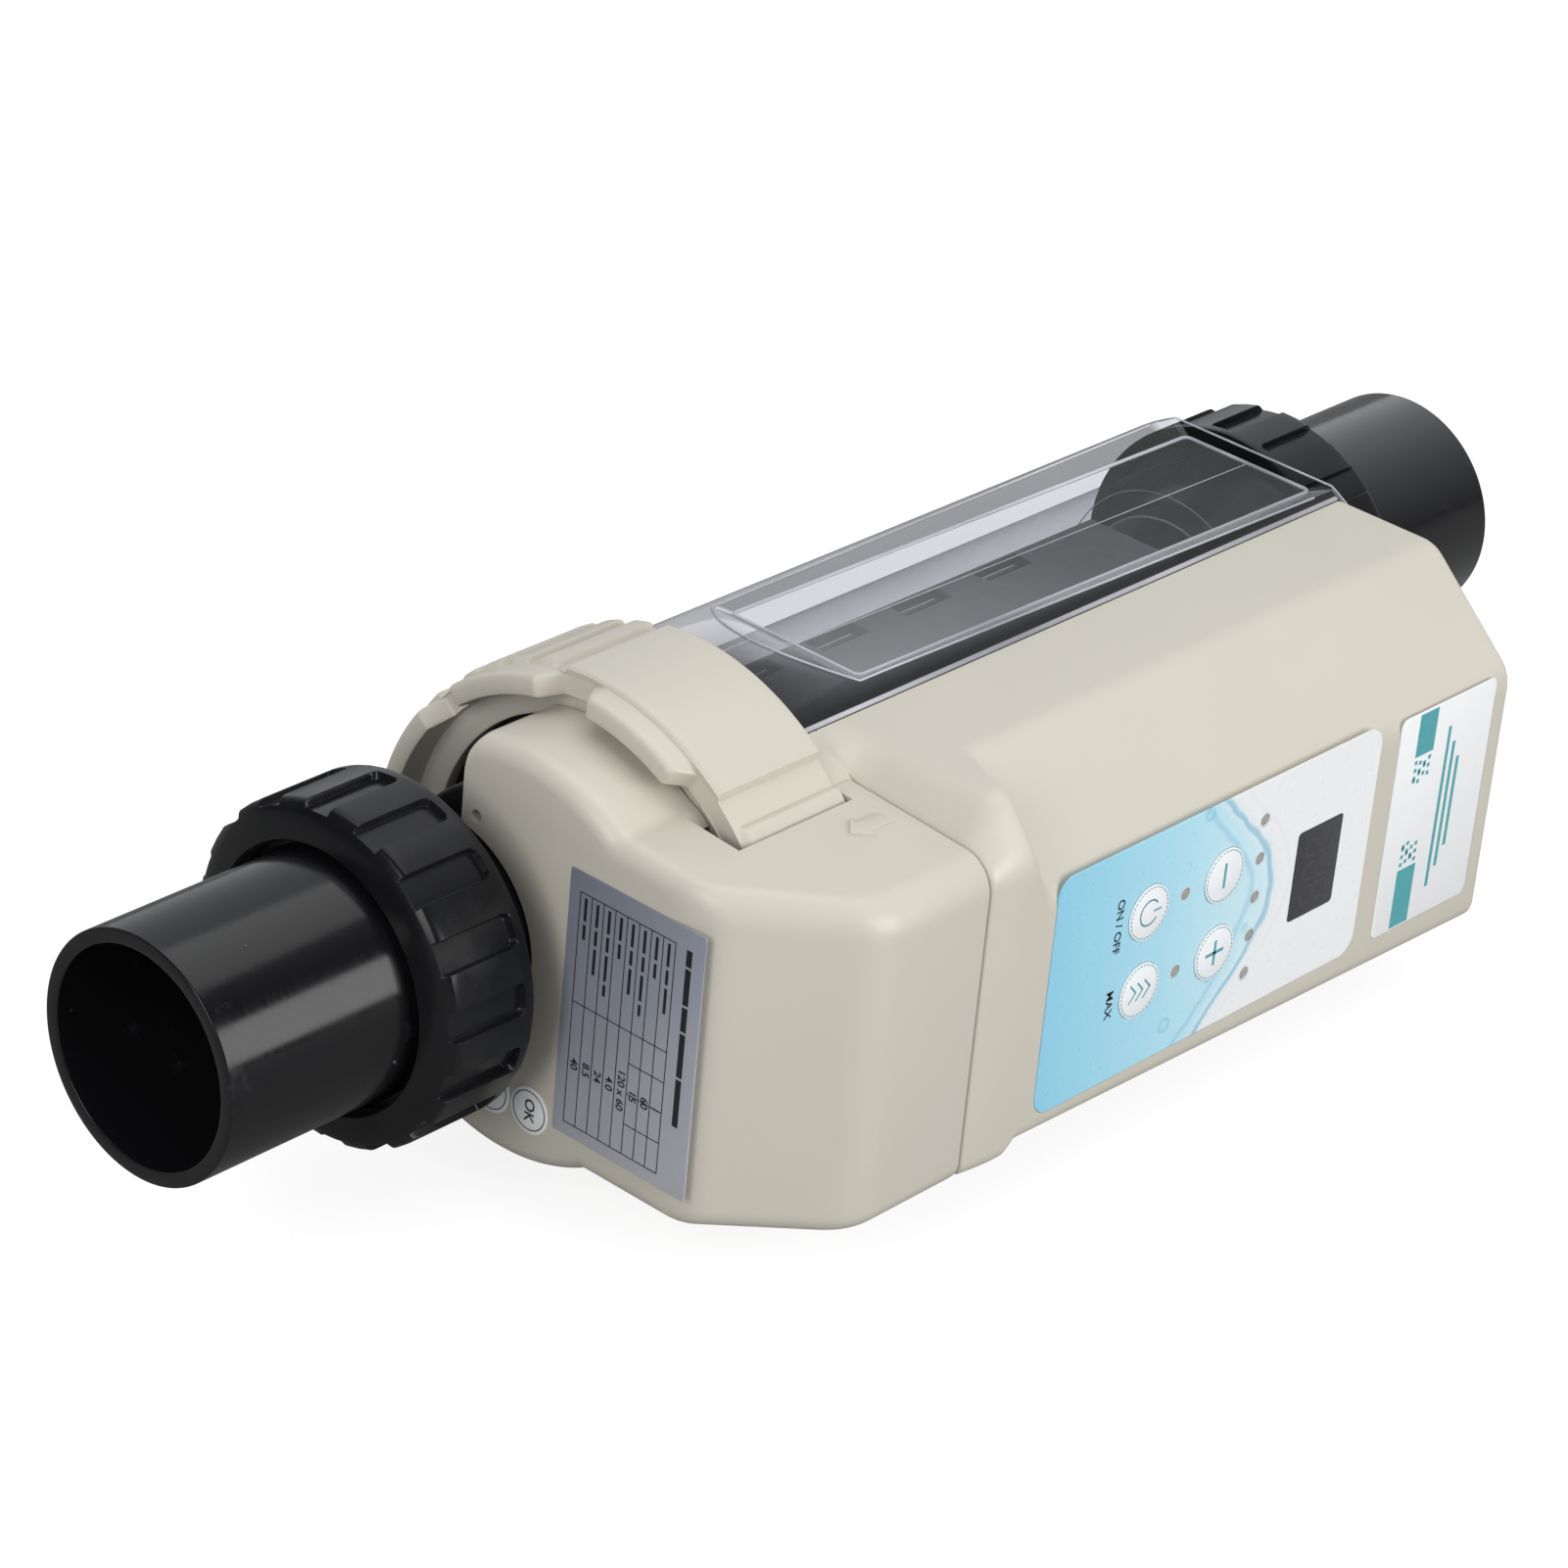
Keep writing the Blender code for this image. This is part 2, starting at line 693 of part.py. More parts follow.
def add_cassette(carriage):
    """Upper and lower holders with a groove for each plate and slots along their outer edge."""
    x = (cassette_start_x(), CASSETTE_END_X)
    y = (CELL_Y - CASSETTE_HALF_WIDTH, CELL_Y + CASSETTE_HALF_WIDTH)
    inner = CASSETTE_TOP_Z - CASSETTE_RAIL
    for name, side in (("upper_electrode_holder", 1), ("lower_electrode_holder", -1)):
        body = block(x, y, sorted((side * inner, side * CASSETTE_TOP_Z)))
        groove_z = sorted((side * (inner - 1.0), side * (inner + PLATE_SEAT)))
        grooves = []
        for place in plate_places():
            groove_y = grown((place, place), PLATE_THICKNESS / 2 + FIT / 2)
            grooves.append(block(grown(plate_x(), FIT / 2), groove_y, groove_z))
        cut(body, together(grooves))
        slot_y = (y[1] - CASSETTE_EDGE - CASSETTE_SLOT_WIDTH, y[1] - CASSETTE_EDGE)
        slot_z = sorted((side * (inner - 2.0), side * (CASSETTE_TOP_Z + 1.0)))
        slots = [block((spot, spot + CASSETTE_SLOT_LENGTH), slot_y, slot_z) for spot in slot_starts()]
        cut(body, together(slots))
        finish(body, name, "dark_grey", parent=carriage, roughness=0.45)


def slot_starts():
    """Where the holders' slots start, as many as their length leaves room for."""
    room = CASSETTE_END_X - 6.0 - CASSETTE_SLOT_START_X - CASSETTE_SLOT_LENGTH
    return [CASSETTE_SLOT_START_X + CASSETTE_SLOT_PITCH * k for k in range(1 + int(room / CASSETTE_SLOT_PITCH))]


def plate_x():
    """Ends of the plates, which leave the same room at both ends of the holders."""
    return (cassette_start_x() + PLATE_START, CASSETTE_END_X - PLATE_START)


def add_plates(carriage):
    """Coated titanium plates that stand side by side in the holders' grooves."""
    half_height = CASSETTE_TOP_Z - CASSETTE_RAIL + PLATE_SEAT - FIT / 2
    for k, place in enumerate(plate_places()):
        y = grown((place, place), PLATE_THICKNESS / 2)
        body = block(plate_x(), y, (-half_height, half_height))
        name = "electrode_plate_%d" % (k + 1)
        finish(body, name, "titanium", parent=carriage, roughness=0.55, metallic=1.0)


def add_terminals(carriage):
    """Two titanium posts through the head, and the sensing probe between them."""
    starts = (HEAD_BOSS_X + 4.0, HEAD_BOSS_X + 4.0, HEAD_BOSS_X + 6.0)
    ends = (plate_x()[0] - FIT, plate_x()[0] - FIT, cassette_start_x() + 3.0)
    names = ("anode_terminal", "cathode_terminal", "flow_temperature_probe")
    for name, start, end, (y, z, radius) in zip(names, starts, ends, terminal_spots()):
        body = cylinder(start, end, radius, (y, z), HOLE_STEPS)
        finish(body, name, "titanium", parent=carriage, roughness=0.35, metallic=1.0)


def ring_loop(outer, front):
    """Loop of the lock ring's section where its band has radius outer and its front edge is at front."""
    web_back = RING_WEB_X + RING_WEB_THICKNESS
    near = RING_NEAR_X if outer == RING_RADIUS else RING_NEAR_X + 0.6
    return [
        (RING_FAR_X, RING_INNER_RADIUS),
        (RING_FAR_X, outer),
        (near + 0.6, outer),
        (near, outer - 0.6),
        (RING_NEAR_X + 0.9, RING_VALLEY_RADIUS - 0.8),
        (front, LUG_OUTER_RADIUS - 1.2),
        (front, LUG_INNER_RADIUS),
        (RING_WEB_X, LUG_INNER_RADIUS),
        (RING_WEB_X, RING_LIP_RADIUS),
        (web_back, RING_LIP_RADIUS),
        (web_back, RING_INNER_RADIUS),
    ]


def rib_edges():
    """Where the band's height changes, in degrees past the end of a pad, as (start, end, radius on it)."""
    middles = [RIB_START + RIB_PITCH * k for k in range(RIBS_BETWEEN_PADS)]
    ribs = [(m - RIB_SPAN / 2, m + RIB_SPAN / 2, RIB_RADIUS) for m in middles]
    return ribs + [(90.0 - PAD_SPAN, 90.0, RING_RADIUS)]


def ring_profile():
    """(angle, band radius) all round: four smooth pads with grip ribs between them, each with sloping flanks."""
    profile = []
    for quarter in range(4):
        base = PAD_END + 90.0 * quarter
        for start, end, radius in rib_edges():
            profile.append((base + start - FLANK_SPAN / 2, RING_VALLEY_RADIUS))
            profile.append((base + start + FLANK_SPAN / 2, radius))
            inner = PAD_STEPS if radius == RING_RADIUS else 0
            for k in range(1, inner):
                profile.append((base + start + (end - start) * k / inner, radius))
            profile.append((base + end - FLANK_SPAN / 2, radius))
            profile.append((base + end + FLANK_SPAN / 2, RING_VALLEY_RADIUS))
    return sorted((a % 360.0, r) for a, r in profile)


def band_radius(profile, angle):
    """Band radius at an angle, between the profile's own angles."""
    spots = [(profile[-1][0] - 360.0, profile[-1][1])] + profile + [(profile[0][0] + 360.0, profile[0][1])]
    for (a0, r0), (a1, r1) in zip(spots, spots[1:]):
        if a0 <= angle <= a1:
            return r0 + (r1 - r0) * (angle - a0) / (a1 - a0)
    return RING_VALLEY_RADIUS


def ring_front(angle):
    """Front edge of the ring at an angle: lugs stand forward, with a ramp at each end."""
    rest = RING_NEAR_X + 0.8
    for first, last in LUG_SPANS:
        inside = min((angle - first) % 360.0, (last - angle) % 360.0)
        if (angle - first) % 360.0 <= last - first:
            return rest + (LUG_FRONT_X - rest) * min(1.0, inside / LUG_RAMP)
    return rest


def ring_sections():
    """(angle, band radius, front) wherever one of them changes."""
    profile = ring_profile()
    angles = {round(a, 3) for a, _ in profile}
    for first, last in LUG_SPANS:
        for angle in (first, first + LUG_RAMP, last - LUG_RAMP, last):
            angles.add(round(angle % 360.0, 3))
    kept = []
    for angle in sorted(angles):
        if not kept or angle - kept[-1] > 0.3:
            kept.append(angle)
    return [(a, band_radius(profile, a), ring_front(a)) for a in kept]


def add_lock_ring(carriage):
    """Screw ring that draws the head onto the cell, with finger lugs on its front."""
    sections = [(angle, ring_loop(outer, front)) for angle, outer, front in ring_sections()]
    body = swept_ring(sections, CELL_Y)
    return finish(body, "lock_ring", "beige", (RING_FAR_X, CELL_Y, 0.0), carriage, roughness=0.38)


# Head cover


def cover_side_y(x):
    """Outer side of the cover at x: the front face turns into a 45 degree chamfer, then the side."""
    face_x = COVER_X - 0.01
    turn_x = COVER_X + COVER_FACE_Y - COVER_SIDE_Y
    corners = [(face_x, 0.0), (face_x, COVER_FACE_Y), (turn_x, COVER_SIDE_Y), (SEAM_X + 5.0, COVER_SIDE_Y)]
    path = []
    for i in (1, 2):
        here = Vector(corners[i])
        back = (Vector(corners[i - 1]) - here).normalized()
        ahead = (Vector(corners[i + 1]) - here).normalized()
        path.extend(fillet(here, back, ahead, COVER_FACE_FILLET, 6))
    if x <= path[0][0]:
        return path[0][1]
    for (x0, y0), (x1, y1) in zip(path, path[1:]):
        if x <= x1:
            return y0 + (y1 - y0) * (x - x0) / max(x1 - x0, 1e-9)
    return COVER_SIDE_Y


def cover_outline(x, inset, edge_y=COVER_EDGE_Y):
    """Section (y, z) of the cover at x, pulled in by inset; edge_y is where the arch stops beside the port."""
    arch = COVER_ARCH_RADIUS - inset
    top = COVER_TOP_Z - inset
    side = cover_side_y(x) + inset
    bottom = COVER_BOTTOM_Z + inset
    blend_y = CELL_Y - math.sqrt((arch + COVER_BLEND) ** 2 - (top + COVER_BLEND) ** 2)
    blend_centre = (blend_y, top + COVER_BLEND)
    tangent = math.degrees(math.atan2(blend_y - CELL_Y, top + COVER_BLEND))
    edge = math.degrees(math.asin((edge_y - 3.0 - CELL_Y) / arch))
    corner = max(COVER_CORNER - inset, 1.0)
    low_corner = max(COVER_LOW_CORNER - inset, 1.0)
    drop = COVER_TOP_DROP * (blend_y - side) / (blend_y - COVER_SIDE_Y)
    head = math.sqrt(arch**2 - (edge_y - CELL_Y) ** 2)
    outline = [(edge_y, head - 3.5), (edge_y - 0.8, head - 1.3)]
    outline += arc_points((CELL_Y, 0.0), arch, edge, tangent, 8)
    outline += arc_points(blend_centre, COVER_BLEND, tangent + 180.0, 180.0, 3)[1:]
    ahead = Vector((0.0, -1.0))
    back = (Vector((blend_y, top)) - Vector((side, top - drop))).normalized()
    outline += fillet(Vector((side, top - drop)), back, ahead, corner, 4)
    outline += fillet(Vector((side, bottom)), Vector((0.0, 1.0)), Vector((1.0, 0.0)), low_corner, 3)
    meet = math.degrees(math.acos(bottom / arch))
    last = 180.0 - math.degrees(math.asin((edge_y - CELL_Y) / arch))
    outline += arc_points((CELL_Y, 0.0), arch, -meet, last - 360.0, 6)
    return outline


def cover_body(inset, start, stop):
    """The cover's outer shape, or its cavity when inset is its wall; the cavity runs out past the arch's edge."""
    fillet_steps = 2 if inset == 0 else 1
    edge_y = COVER_EDGE_Y if inset == 0 else COVER_EDGE_Y + 4.0
    sections = []
    places = []
    for k in range(fillet_steps + 1):
        turn = math.pi / 2 * k / fillet_steps
        back = COVER_FRONT_FILLET * (1 - math.sin(turn)) if inset == 0 else 0.0
        places.append((start + COVER_FRONT_FILLET * (1 - math.cos(turn)), back))
    spot = start + COVER_FRONT_FILLET + 2.0
    while spot < COVER_X + COVER_FACE_Y - COVER_SIDE_Y + 9.0:
        places.append((spot, 0.0))
        spot += 5.4
    places.append((stop, 0.0))
    for x, back in places:
        outline = cover_outline(max(x - inset, COVER_X), inset + back, edge_y)
        sections.append([(x, y, z) for y, z in outline])
    return loft(sections)


def add_head_cover(carriage):
    """Shell over the terminals: half an arch beside the port, blended into a box with the ring's slot."""
    body = cover_body(0.0, COVER_X, SEAM_X)
    cavity = cover_body(COVER_WALL, COVER_X + COVER_WALL, SEAM_X + 5.0)
    ring_room = lathe(
        [
            (SLOT_FRONT_X, SLOT_INNER_RADIUS),
            (SLOT_FRONT_X, SLOT_RADIUS),
            (RING_FAR_X + 0.6, SLOT_RADIUS),
            (RING_FAR_X + 0.6, CELL_THREAD_RADIUS + FIT),
            (SEAM_X + 5.0, CELL_THREAD_RADIUS + FIT),
            (SEAM_X + 5.0, 1.0),
            (RING_WEB_X - 0.6, 1.0),
            (RING_WEB_X - 0.6, SLOT_INNER_RADIUS),
        ],
        CELL_Y,
        steps=CELL_STEPS,
    )
    core_room = cylinder(RING_WEB_X - 0.6, SEAM_X + 4.0, 3.0, (CELL_Y, 0.0), HOLE_STEPS)
    port_room = cylinder(COVER_X - 1.0, SEAM_X, NECK_RADIUS + 0.8)
    hole = cylinder(COVER_X - 1.0, COVER_X + COVER_WALL + 1.0, COVER_HOLE_RADIUS, COVER_HOLE, HOLE_STEPS)
    cut(body, cavity, ring_room, core_room, port_room, hole)
    return finish(body, "head_cover", "beige", parent=carriage, roughness=0.38)


def add_cover_labels(carriage):
    x = (COVER_X - STICKER_FIT - LABEL_THICKNESS, COVER_X - STICKER_FIT)
    rating = face_plate(RATING_LABEL_Y, RATING_LABEL_Z, 0.6, *x, steps=2)
    finish(rating, "rating_label", "silver", parent=carriage, roughness=0.35)
    for name, y, radius in STICKERS:
        dot = cylinder(*x, radius, (y, STICKER_Z), 20)
        finish(dot, name, "white", parent=carriage, roughness=0.4)


def add_cover_wiring(carriage):
    """The plug that meets the housing at the seam."""
    outer = COVER_SIDE_Y + COVER_WALL + FIT
    body = block((SEAM_X - 0.5 - PLUG_LENGTH, SEAM_X - 0.5), (outer, outer + PLUG_DEPTH), PLUG_Z)
    finish(body, "wiring_plug", "dark_grey", parent=carriage, roughness=0.5)


# Electronics housing


def housing_values(x):
    """Top blend (0 at the seam, 1 past it), chamfer blend and bottom height of the housing at x."""
    start = SEAM_X + SEAM_GAP
    rise = max(0.0, min(1.0, (x - start) / HOUSING_RISE))
    top = math.sin(rise * math.pi / 2)
    facet = max(0.0, min(1.0, (x - start - HOUSING_RISE) / HOUSING_TURN))
    facet = facet * facet * (3 - 2 * facet)
    along = (x - HOUSING_COLLAR_END_X) / (HOUSING_END_X - HOUSING_COLLAR_END_X)
    main = HOUSING_BOTTOM_NEAR_Z + (HOUSING_BOTTOM_FAR_Z - HOUSING_BOTTOM_NEAR_Z) * along
    step = max(0.0, min(1.0, (x - HOUSING_COLLAR_END_X + 2.0) / 4.0))
    bottom = HOUSING_COLLAR_Z + (main - HOUSING_COLLAR_Z) * step
    return top, facet, bottom


def housing_outline(x, inset, rim=LINER_RADIUS):
    """Section (y, z) of the housing at x, pulled in by inset; its inner side follows the cell."""
    top, facet, bottom = housing_values(x)
    plane = HOUSING_TOP_Z - inset
    low = COVER_TOP_Z - 1.0 + (HOUSING_TOP_Z - COVER_TOP_Z + 1.0) * top - inset
    shelf = COVER_TOP_Z - COVER_TOP_DROP + (HOUSING_TOP_Z - COVER_TOP_Z + COVER_TOP_DROP) * top
    side = HOUSING_SIDE_Y + inset + SEAM_STEP * (1 - top)
    crease_y = HOUSING_COLLAR_CREASE_Y + (HOUSING_CREASE_Y - HOUSING_COLLAR_CREASE_Y) * facet + inset * 0.4
    crease_z = HOUSING_COLLAR_CREASE_Z + (HOUSING_CREASE_Z - HOUSING_COLLAR_CREASE_Z) * facet - inset * 0.4
    crease_z = min(crease_z, shelf - 4.0)
    crease_top = min(shelf + (low + inset - shelf) * facet, HOUSING_TOP_Z) - inset
    bottom = bottom + inset
    contact = CELL_Y - math.sqrt(rim**2 - plane**2)
    corners = [
        (contact, plane, 0.0),
        (HOUSING_TOP_CORNER_Y - inset * 2, low, 5.0 - inset),
        (crease_y, crease_top, 5.0 - inset),
        (side, crease_z, 6.0 - inset),
        (side, bottom, 5.5 - inset * 0.5),
        (CELL_Y - math.sqrt(rim**2 - bottom**2), bottom, 0.0),
    ]
    outline = []
    for i, (y, z, radius) in enumerate(corners):
        if radius == 0.0:
            outline.append((y, z))
            continue
        here = Vector((y, z))
        back = (Vector(corners[i - 1][:2]) - here).normalized()
        ahead = (Vector(corners[i + 1][:2]) - here).normalized()
        outline += soft_corner(here, back, ahead, radius)
    first = math.degrees(math.atan2(corners[-1][0] - CELL_Y, corners[-1][1]))
    last = math.degrees(math.atan2(contact - CELL_Y, plane))
    return outline + arc_points((CELL_Y, 0.0), rim, first, last, 12)[1:-1]


def soft_corner(corner, back, ahead, radius):
    """Points of a rounded corner that keeps its reach when the corner is nearly straight."""
    reach = radius * 0.8
    points = []
    for k in range(4):
        t = k / 3
        a = corner + back * reach * (1 - t)
        b = corner + ahead * reach * t
        points.append(tuple(a * (1 - t) + b * t))
    return points


def housing_places(inset):
    start = SEAM_X + SEAM_GAP
    rise = [HOUSING_RISE * share for share in (0.0, 0.16, 0.36, 0.6, 1.0)]
    turn = [HOUSING_RISE + HOUSING_TURN * share for share in (0.28, 0.5, 0.78, 1.0)]
    places = [start + step for step in rise + turn]
    places += [HOUSING_END_X - HOUSING_END_FILLET]
    ends = [(p, 0.0) for p in places]
    if inset == 0:
        for k in range(1, 3):
            turn = math.pi / 2 * k / 2
            along = HOUSING_END_X - HOUSING_END_FILLET * (1 - math.sin(turn))
            ends.append((along, HOUSING_END_FILLET * (1 - math.cos(turn))))
    return ends


def housing_body():
    """Outer shape of the housing, solid."""
    sections = []
    for x, back in housing_places(0):
        outline = housing_outline(x, back)
        sections.append([(x, y, z) for y, z in outline])
    return loft(sections)


def housing_cavity():
    """Room inside the housing, open at the seam."""
    sections = []
    places = [SEAM_X - 2.0] + [x for x, _ in housing_places(1)]
    for x in places:
        outline = housing_outline(max(x, SEAM_X + SEAM_GAP), HOUSING_WALL, LINER_RADIUS - 2.0)
        sections.append([(x, y, z) for y, z in outline])
    return loft(sections)


def panel_recesses():
    """Shallow beds for the overlay and for the series label."""
    outer = HOUSING_SIDE_Y - 2.0
    beds = (
        (PANEL_OFFSETS, PANEL_Z, PANEL_CORNER, PANEL_RECESS),
        (SERIES_LABEL_OFFSETS, SERIES_LABEL_Z, LABEL_CORNER, LABEL_THICKNESS),
    )
    cutters = []
    for offsets, z, corner, depth in beds:
        x = grown(panel_span(offsets), FIT / 2)
        cutters.append(side_plate(x, grown(z, FIT / 2), corner, outer, HOUSING_SIDE_Y + depth))
    return cutters


def add_housing():
    """Front shell with a flat top, a long facet, a collar at the seam and a recessed panel."""
    body = housing_body()
    cut(body, housing_cavity(), *panel_recesses())
    outer = HOUSING_SIDE_Y - 1.0
    inner = HOUSING_SIDE_Y + HOUSING_WALL + 1.0
    x = grown(panel_span(DISPLAY_OFFSETS), -DISPLAY_BORDER)
    holes = [side_plate(x, grown(DISPLAY_Z, -DISPLAY_BORDER), 1.0, outer, inner, 1)]
    for offset, z in BUTTON_SPOTS.values():
        holes.append(y_rod(panel_x(offset), z, KEY_HOLE_RADIUS, outer, inner, HOLE_STEPS))
    for offset, z in INDICATOR_SPOTS:
        holes.append(y_rod(panel_x(offset), z, INDICATOR_RADIUS + FIT / 2, outer, inner, 8))
    floor = HOUSING_BOTTOM_FAR_Z
    holes.append(z_rod(INLET_X, INLET_Y, INLET_RADIUS + FIT, floor - HOUSING_WALL, floor + 3 * HOUSING_WALL))
    cut(body, together(holes))
    return finish(body, "electronics_housing", "beige", roughness=0.38)


def y_rod(x, z, radius, y_from, y_to, steps=20):
    """A solid rod along Y."""
    outline = circle(radius, (x, z), steps)
    return loft([[(a, y, b) for a, b in outline] for y in (y_from, y_to)])


def z_rod(x, y, radius, z_from, z_to, steps=20):
    """A solid rod along Z."""
    outline = circle(radius, (x, y), steps)
    return loft([[(a, b, z) for a, b in outline] for z in (z_from, z_to)])


def add_liner():
    """Black curved back that closes the housing toward the cell."""
    inner = LINER_RADIUS
    outer = LINER_RADIUS + LINER_THICKNESS
    low = HOUSING_COLLAR_Z + HOUSING_WALL + FIT + 4.0
    high = HOUSING_TOP_Z - HOUSING_WALL - FIT - 0.6
    first = -math.degrees(math.acos(low / outer))
    last = -math.degrees(math.acos(high / outer))
    loop = arc_points((CELL_Y, 0.0), inner, first, last, 16)
    loop += arc_points((CELL_Y, 0.0), outer, last, first, 16)
    ends = (HOUSING_COLLAR_END_X, HOUSING_END_X - HOUSING_END_FILLET - FIT)
    body = loft([[(x, y, z) for y, z in loop] for x in ends])
    finish(body, "housing_liner", "black", roughness=0.3)


def add_panel():
    """Printed overlay with its buttons, indicators and display window."""
    back = HOUSING_SIDE_Y + PANEL_RECESS - STICKER_FIT
    front = back - OVERLAY_THICKNESS
    x = panel_span(DISPLAY_OFFSETS)
    overlay = side_plate(panel_span(PANEL_OFFSETS), PANEL_Z, PANEL_CORNER, front, back)
    holes = [side_plate(x, DISPLAY_Z, 1.2, front - 1.0, back + 1.0, 2)]
    for offset, z in BUTTON_SPOTS.values():
        holes.append(y_rod(panel_x(offset), z, BUTTON_RADIUS + FIT / 2, front - 1.0, back + 1.0))
    for offset, z in INDICATOR_SPOTS:
        holes.append(y_rod(panel_x(offset), z, INDICATOR_RADIUS + FIT / 2, front - 1.0, back + 1.0, 8))
    cut(overlay, together(holes))
    finish(overlay, "control_overlay", "sky", roughness=0.3)
    add_buttons(front, back)
    for k, (offset, z) in enumerate(INDICATOR_SPOTS):
        body = y_rod(panel_x(offset), z, INDICATOR_RADIUS, front + 0.1, BOARD_Y - BOARD_THICKNESS / 2 - FIT / 2, 8)
        finish(body, "indicator_light_%d" % (k + 1), "amber", roughness=0.3)
    window = side_plate(grown(x, -FIT / 2), grown(DISPLAY_Z, -FIT / 2), 1.1, front, back, 2)
    finish(window, "display_window", "smoke", roughness=0.1)


def add_buttons(front, back):
    """Four domed keys over their switches."""
    top = front - BUTTON_DOME
    rims = (
        (BUTTON_RADIUS - BUTTON_EDGE, top),
        (BUTTON_RADIUS, front),
        (BUTTON_RADIUS, back - BUTTON_TRAVEL - 0.02),
    )
    for name, (offset, z) in BUTTON_SPOTS.items():
        centre = (panel_x(offset), z)
        body = loft([[(a, y, b) for a, b in circle(radius, centre, 20)] for radius, y in rims])
        finish(body, name, "white", (centre[0], top, z), roughness=0.35)


def add_series_label():
    back = HOUSING_SIDE_Y + LABEL_THICKNESS - STICKER_FIT
    x = panel_span(SERIES_LABEL_OFFSETS)
    body = side_plate(x, SERIES_LABEL_Z, LABEL_CORNER, back - LABEL_THICKNESS, back, 4)
    finish(body, "series_label", "white", roughness=0.35)


def add_electronics():
    """Circuit board with the display module, the key switches and the seam socket."""
    front = BOARD_Y - BOARD_THICKNESS / 2
    back = BOARD_Y + BOARD_THICKNESS / 2
    board = side_plate((SEAM_X + SEAM_GAP + SOCKET_LENGTH + FIT, panel_x(BOARD_END)), BOARD_Z, 1.5, front, back, 1)
    finish(board, "circuit_board", "green", roughness=0.5)
    display = block(
        grown(panel_span(DISPLAY_OFFSETS), MODULE_BORDER),
        (HOUSING_SIDE_Y + HOUSING_WALL + FIT, front - FIT / 2),
        grown(DISPLAY_Z, MODULE_BORDER),
    )
    finish(display, "display_module", "dark_grey", roughness=0.4)
    for name, (offset, z) in BUTTON_SPOTS.items():
        tip = HOUSING_SIDE_Y + PANEL_RECESS + FIT / 2
        body = y_rod(panel_x(offset), z, SWITCH_RADIUS, tip, front - FIT / 2, HOLE_STEPS)
        finish(body, name.replace("button", "switch"), "dark_grey", roughness=0.5)
    depth = (back + FIT / 2, back + FIT / 2 + DRIVER_HEIGHT)
    driver = block(panel_span(DRIVER_OFFSETS), depth, DRIVER_Z)
    finish(driver, "power_supply_module", "dark_grey", roughness=0.5)
    start = SEAM_X + SEAM_GAP
    outer = HOUSING_SIDE_Y + SEAM_STEP + HOUSING_WALL + FIT
    socket = block((start, start + SOCKET_LENGTH), (outer, outer + PLUG_DEPTH), PLUG_Z)
    finish(socket, "wiring_socket", "dark_grey", roughness=0.5)


def add_power_inlet():
    """Round socket under the housing where the low voltage supply plugs in."""
    seat = HOUSING_BOTTOM_FAR_Z - FIT
    top = HOUSING_BOTTOM_FAR_Z + HOUSING_WALL + 4.0
    rims = (
        (INLET_RIM_RADIUS - 1.0, seat - 2.7),
        (INLET_RIM_RADIUS, seat - 2.1),
        (INLET_RIM_RADIUS, seat),
        (INLET_RADIUS, seat),
        (INLET_RADIUS, top),
    )
    centre = (INLET_X, INLET_Y)
    body = loft([[(a, b, z) for a, b in circle(radius, centre, 20)] for radius, z in rims])
    cut(body, z_rod(INLET_X, INLET_Y, INLET_BORE_RADIUS, seat - 5.0, top - 2.0, HOLE_STEPS))
    finish(body, "power_inlet", "black", roughness=0.4)


def build():
    clear_scene()
    carriage = bpy.data.objects.new("head_carriage", None)
    carriage.location = (CELL_MOUTH_X * MM, CELL_Y * MM, 0.0)
    bpy.context.scene.collection.objects.link(carriage)
    add_union("head_end", list, carriage, carriage)
    add_union("far_end", mirrored, None, None)
    add_clear_cell()
    add_head(carriage)
    add_head_seal(carriage)
    add_cassette(carriage)
    add_plates(carriage)
    add_terminals(carriage)
    add_lock_ring(carriage)
    add_head_cover(carriage)
    add_cover_labels(carriage)
    add_cover_wiring(carriage)
    add_housing()
    add_liner()
    add_panel()
    add_series_label()
    add_electronics()
    add_power_inlet()


build()
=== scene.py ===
"""Looks of the salt chlorine generator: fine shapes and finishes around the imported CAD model.

Frame: +X along the pipe axis from the head end to the far end, -Y toward the control panel, +Z up.
Lengths are in millimetres until a piece is finished, which turns it into metres.
"""

import math

import bmesh
import bpy
from mathutils import Matrix, Vector


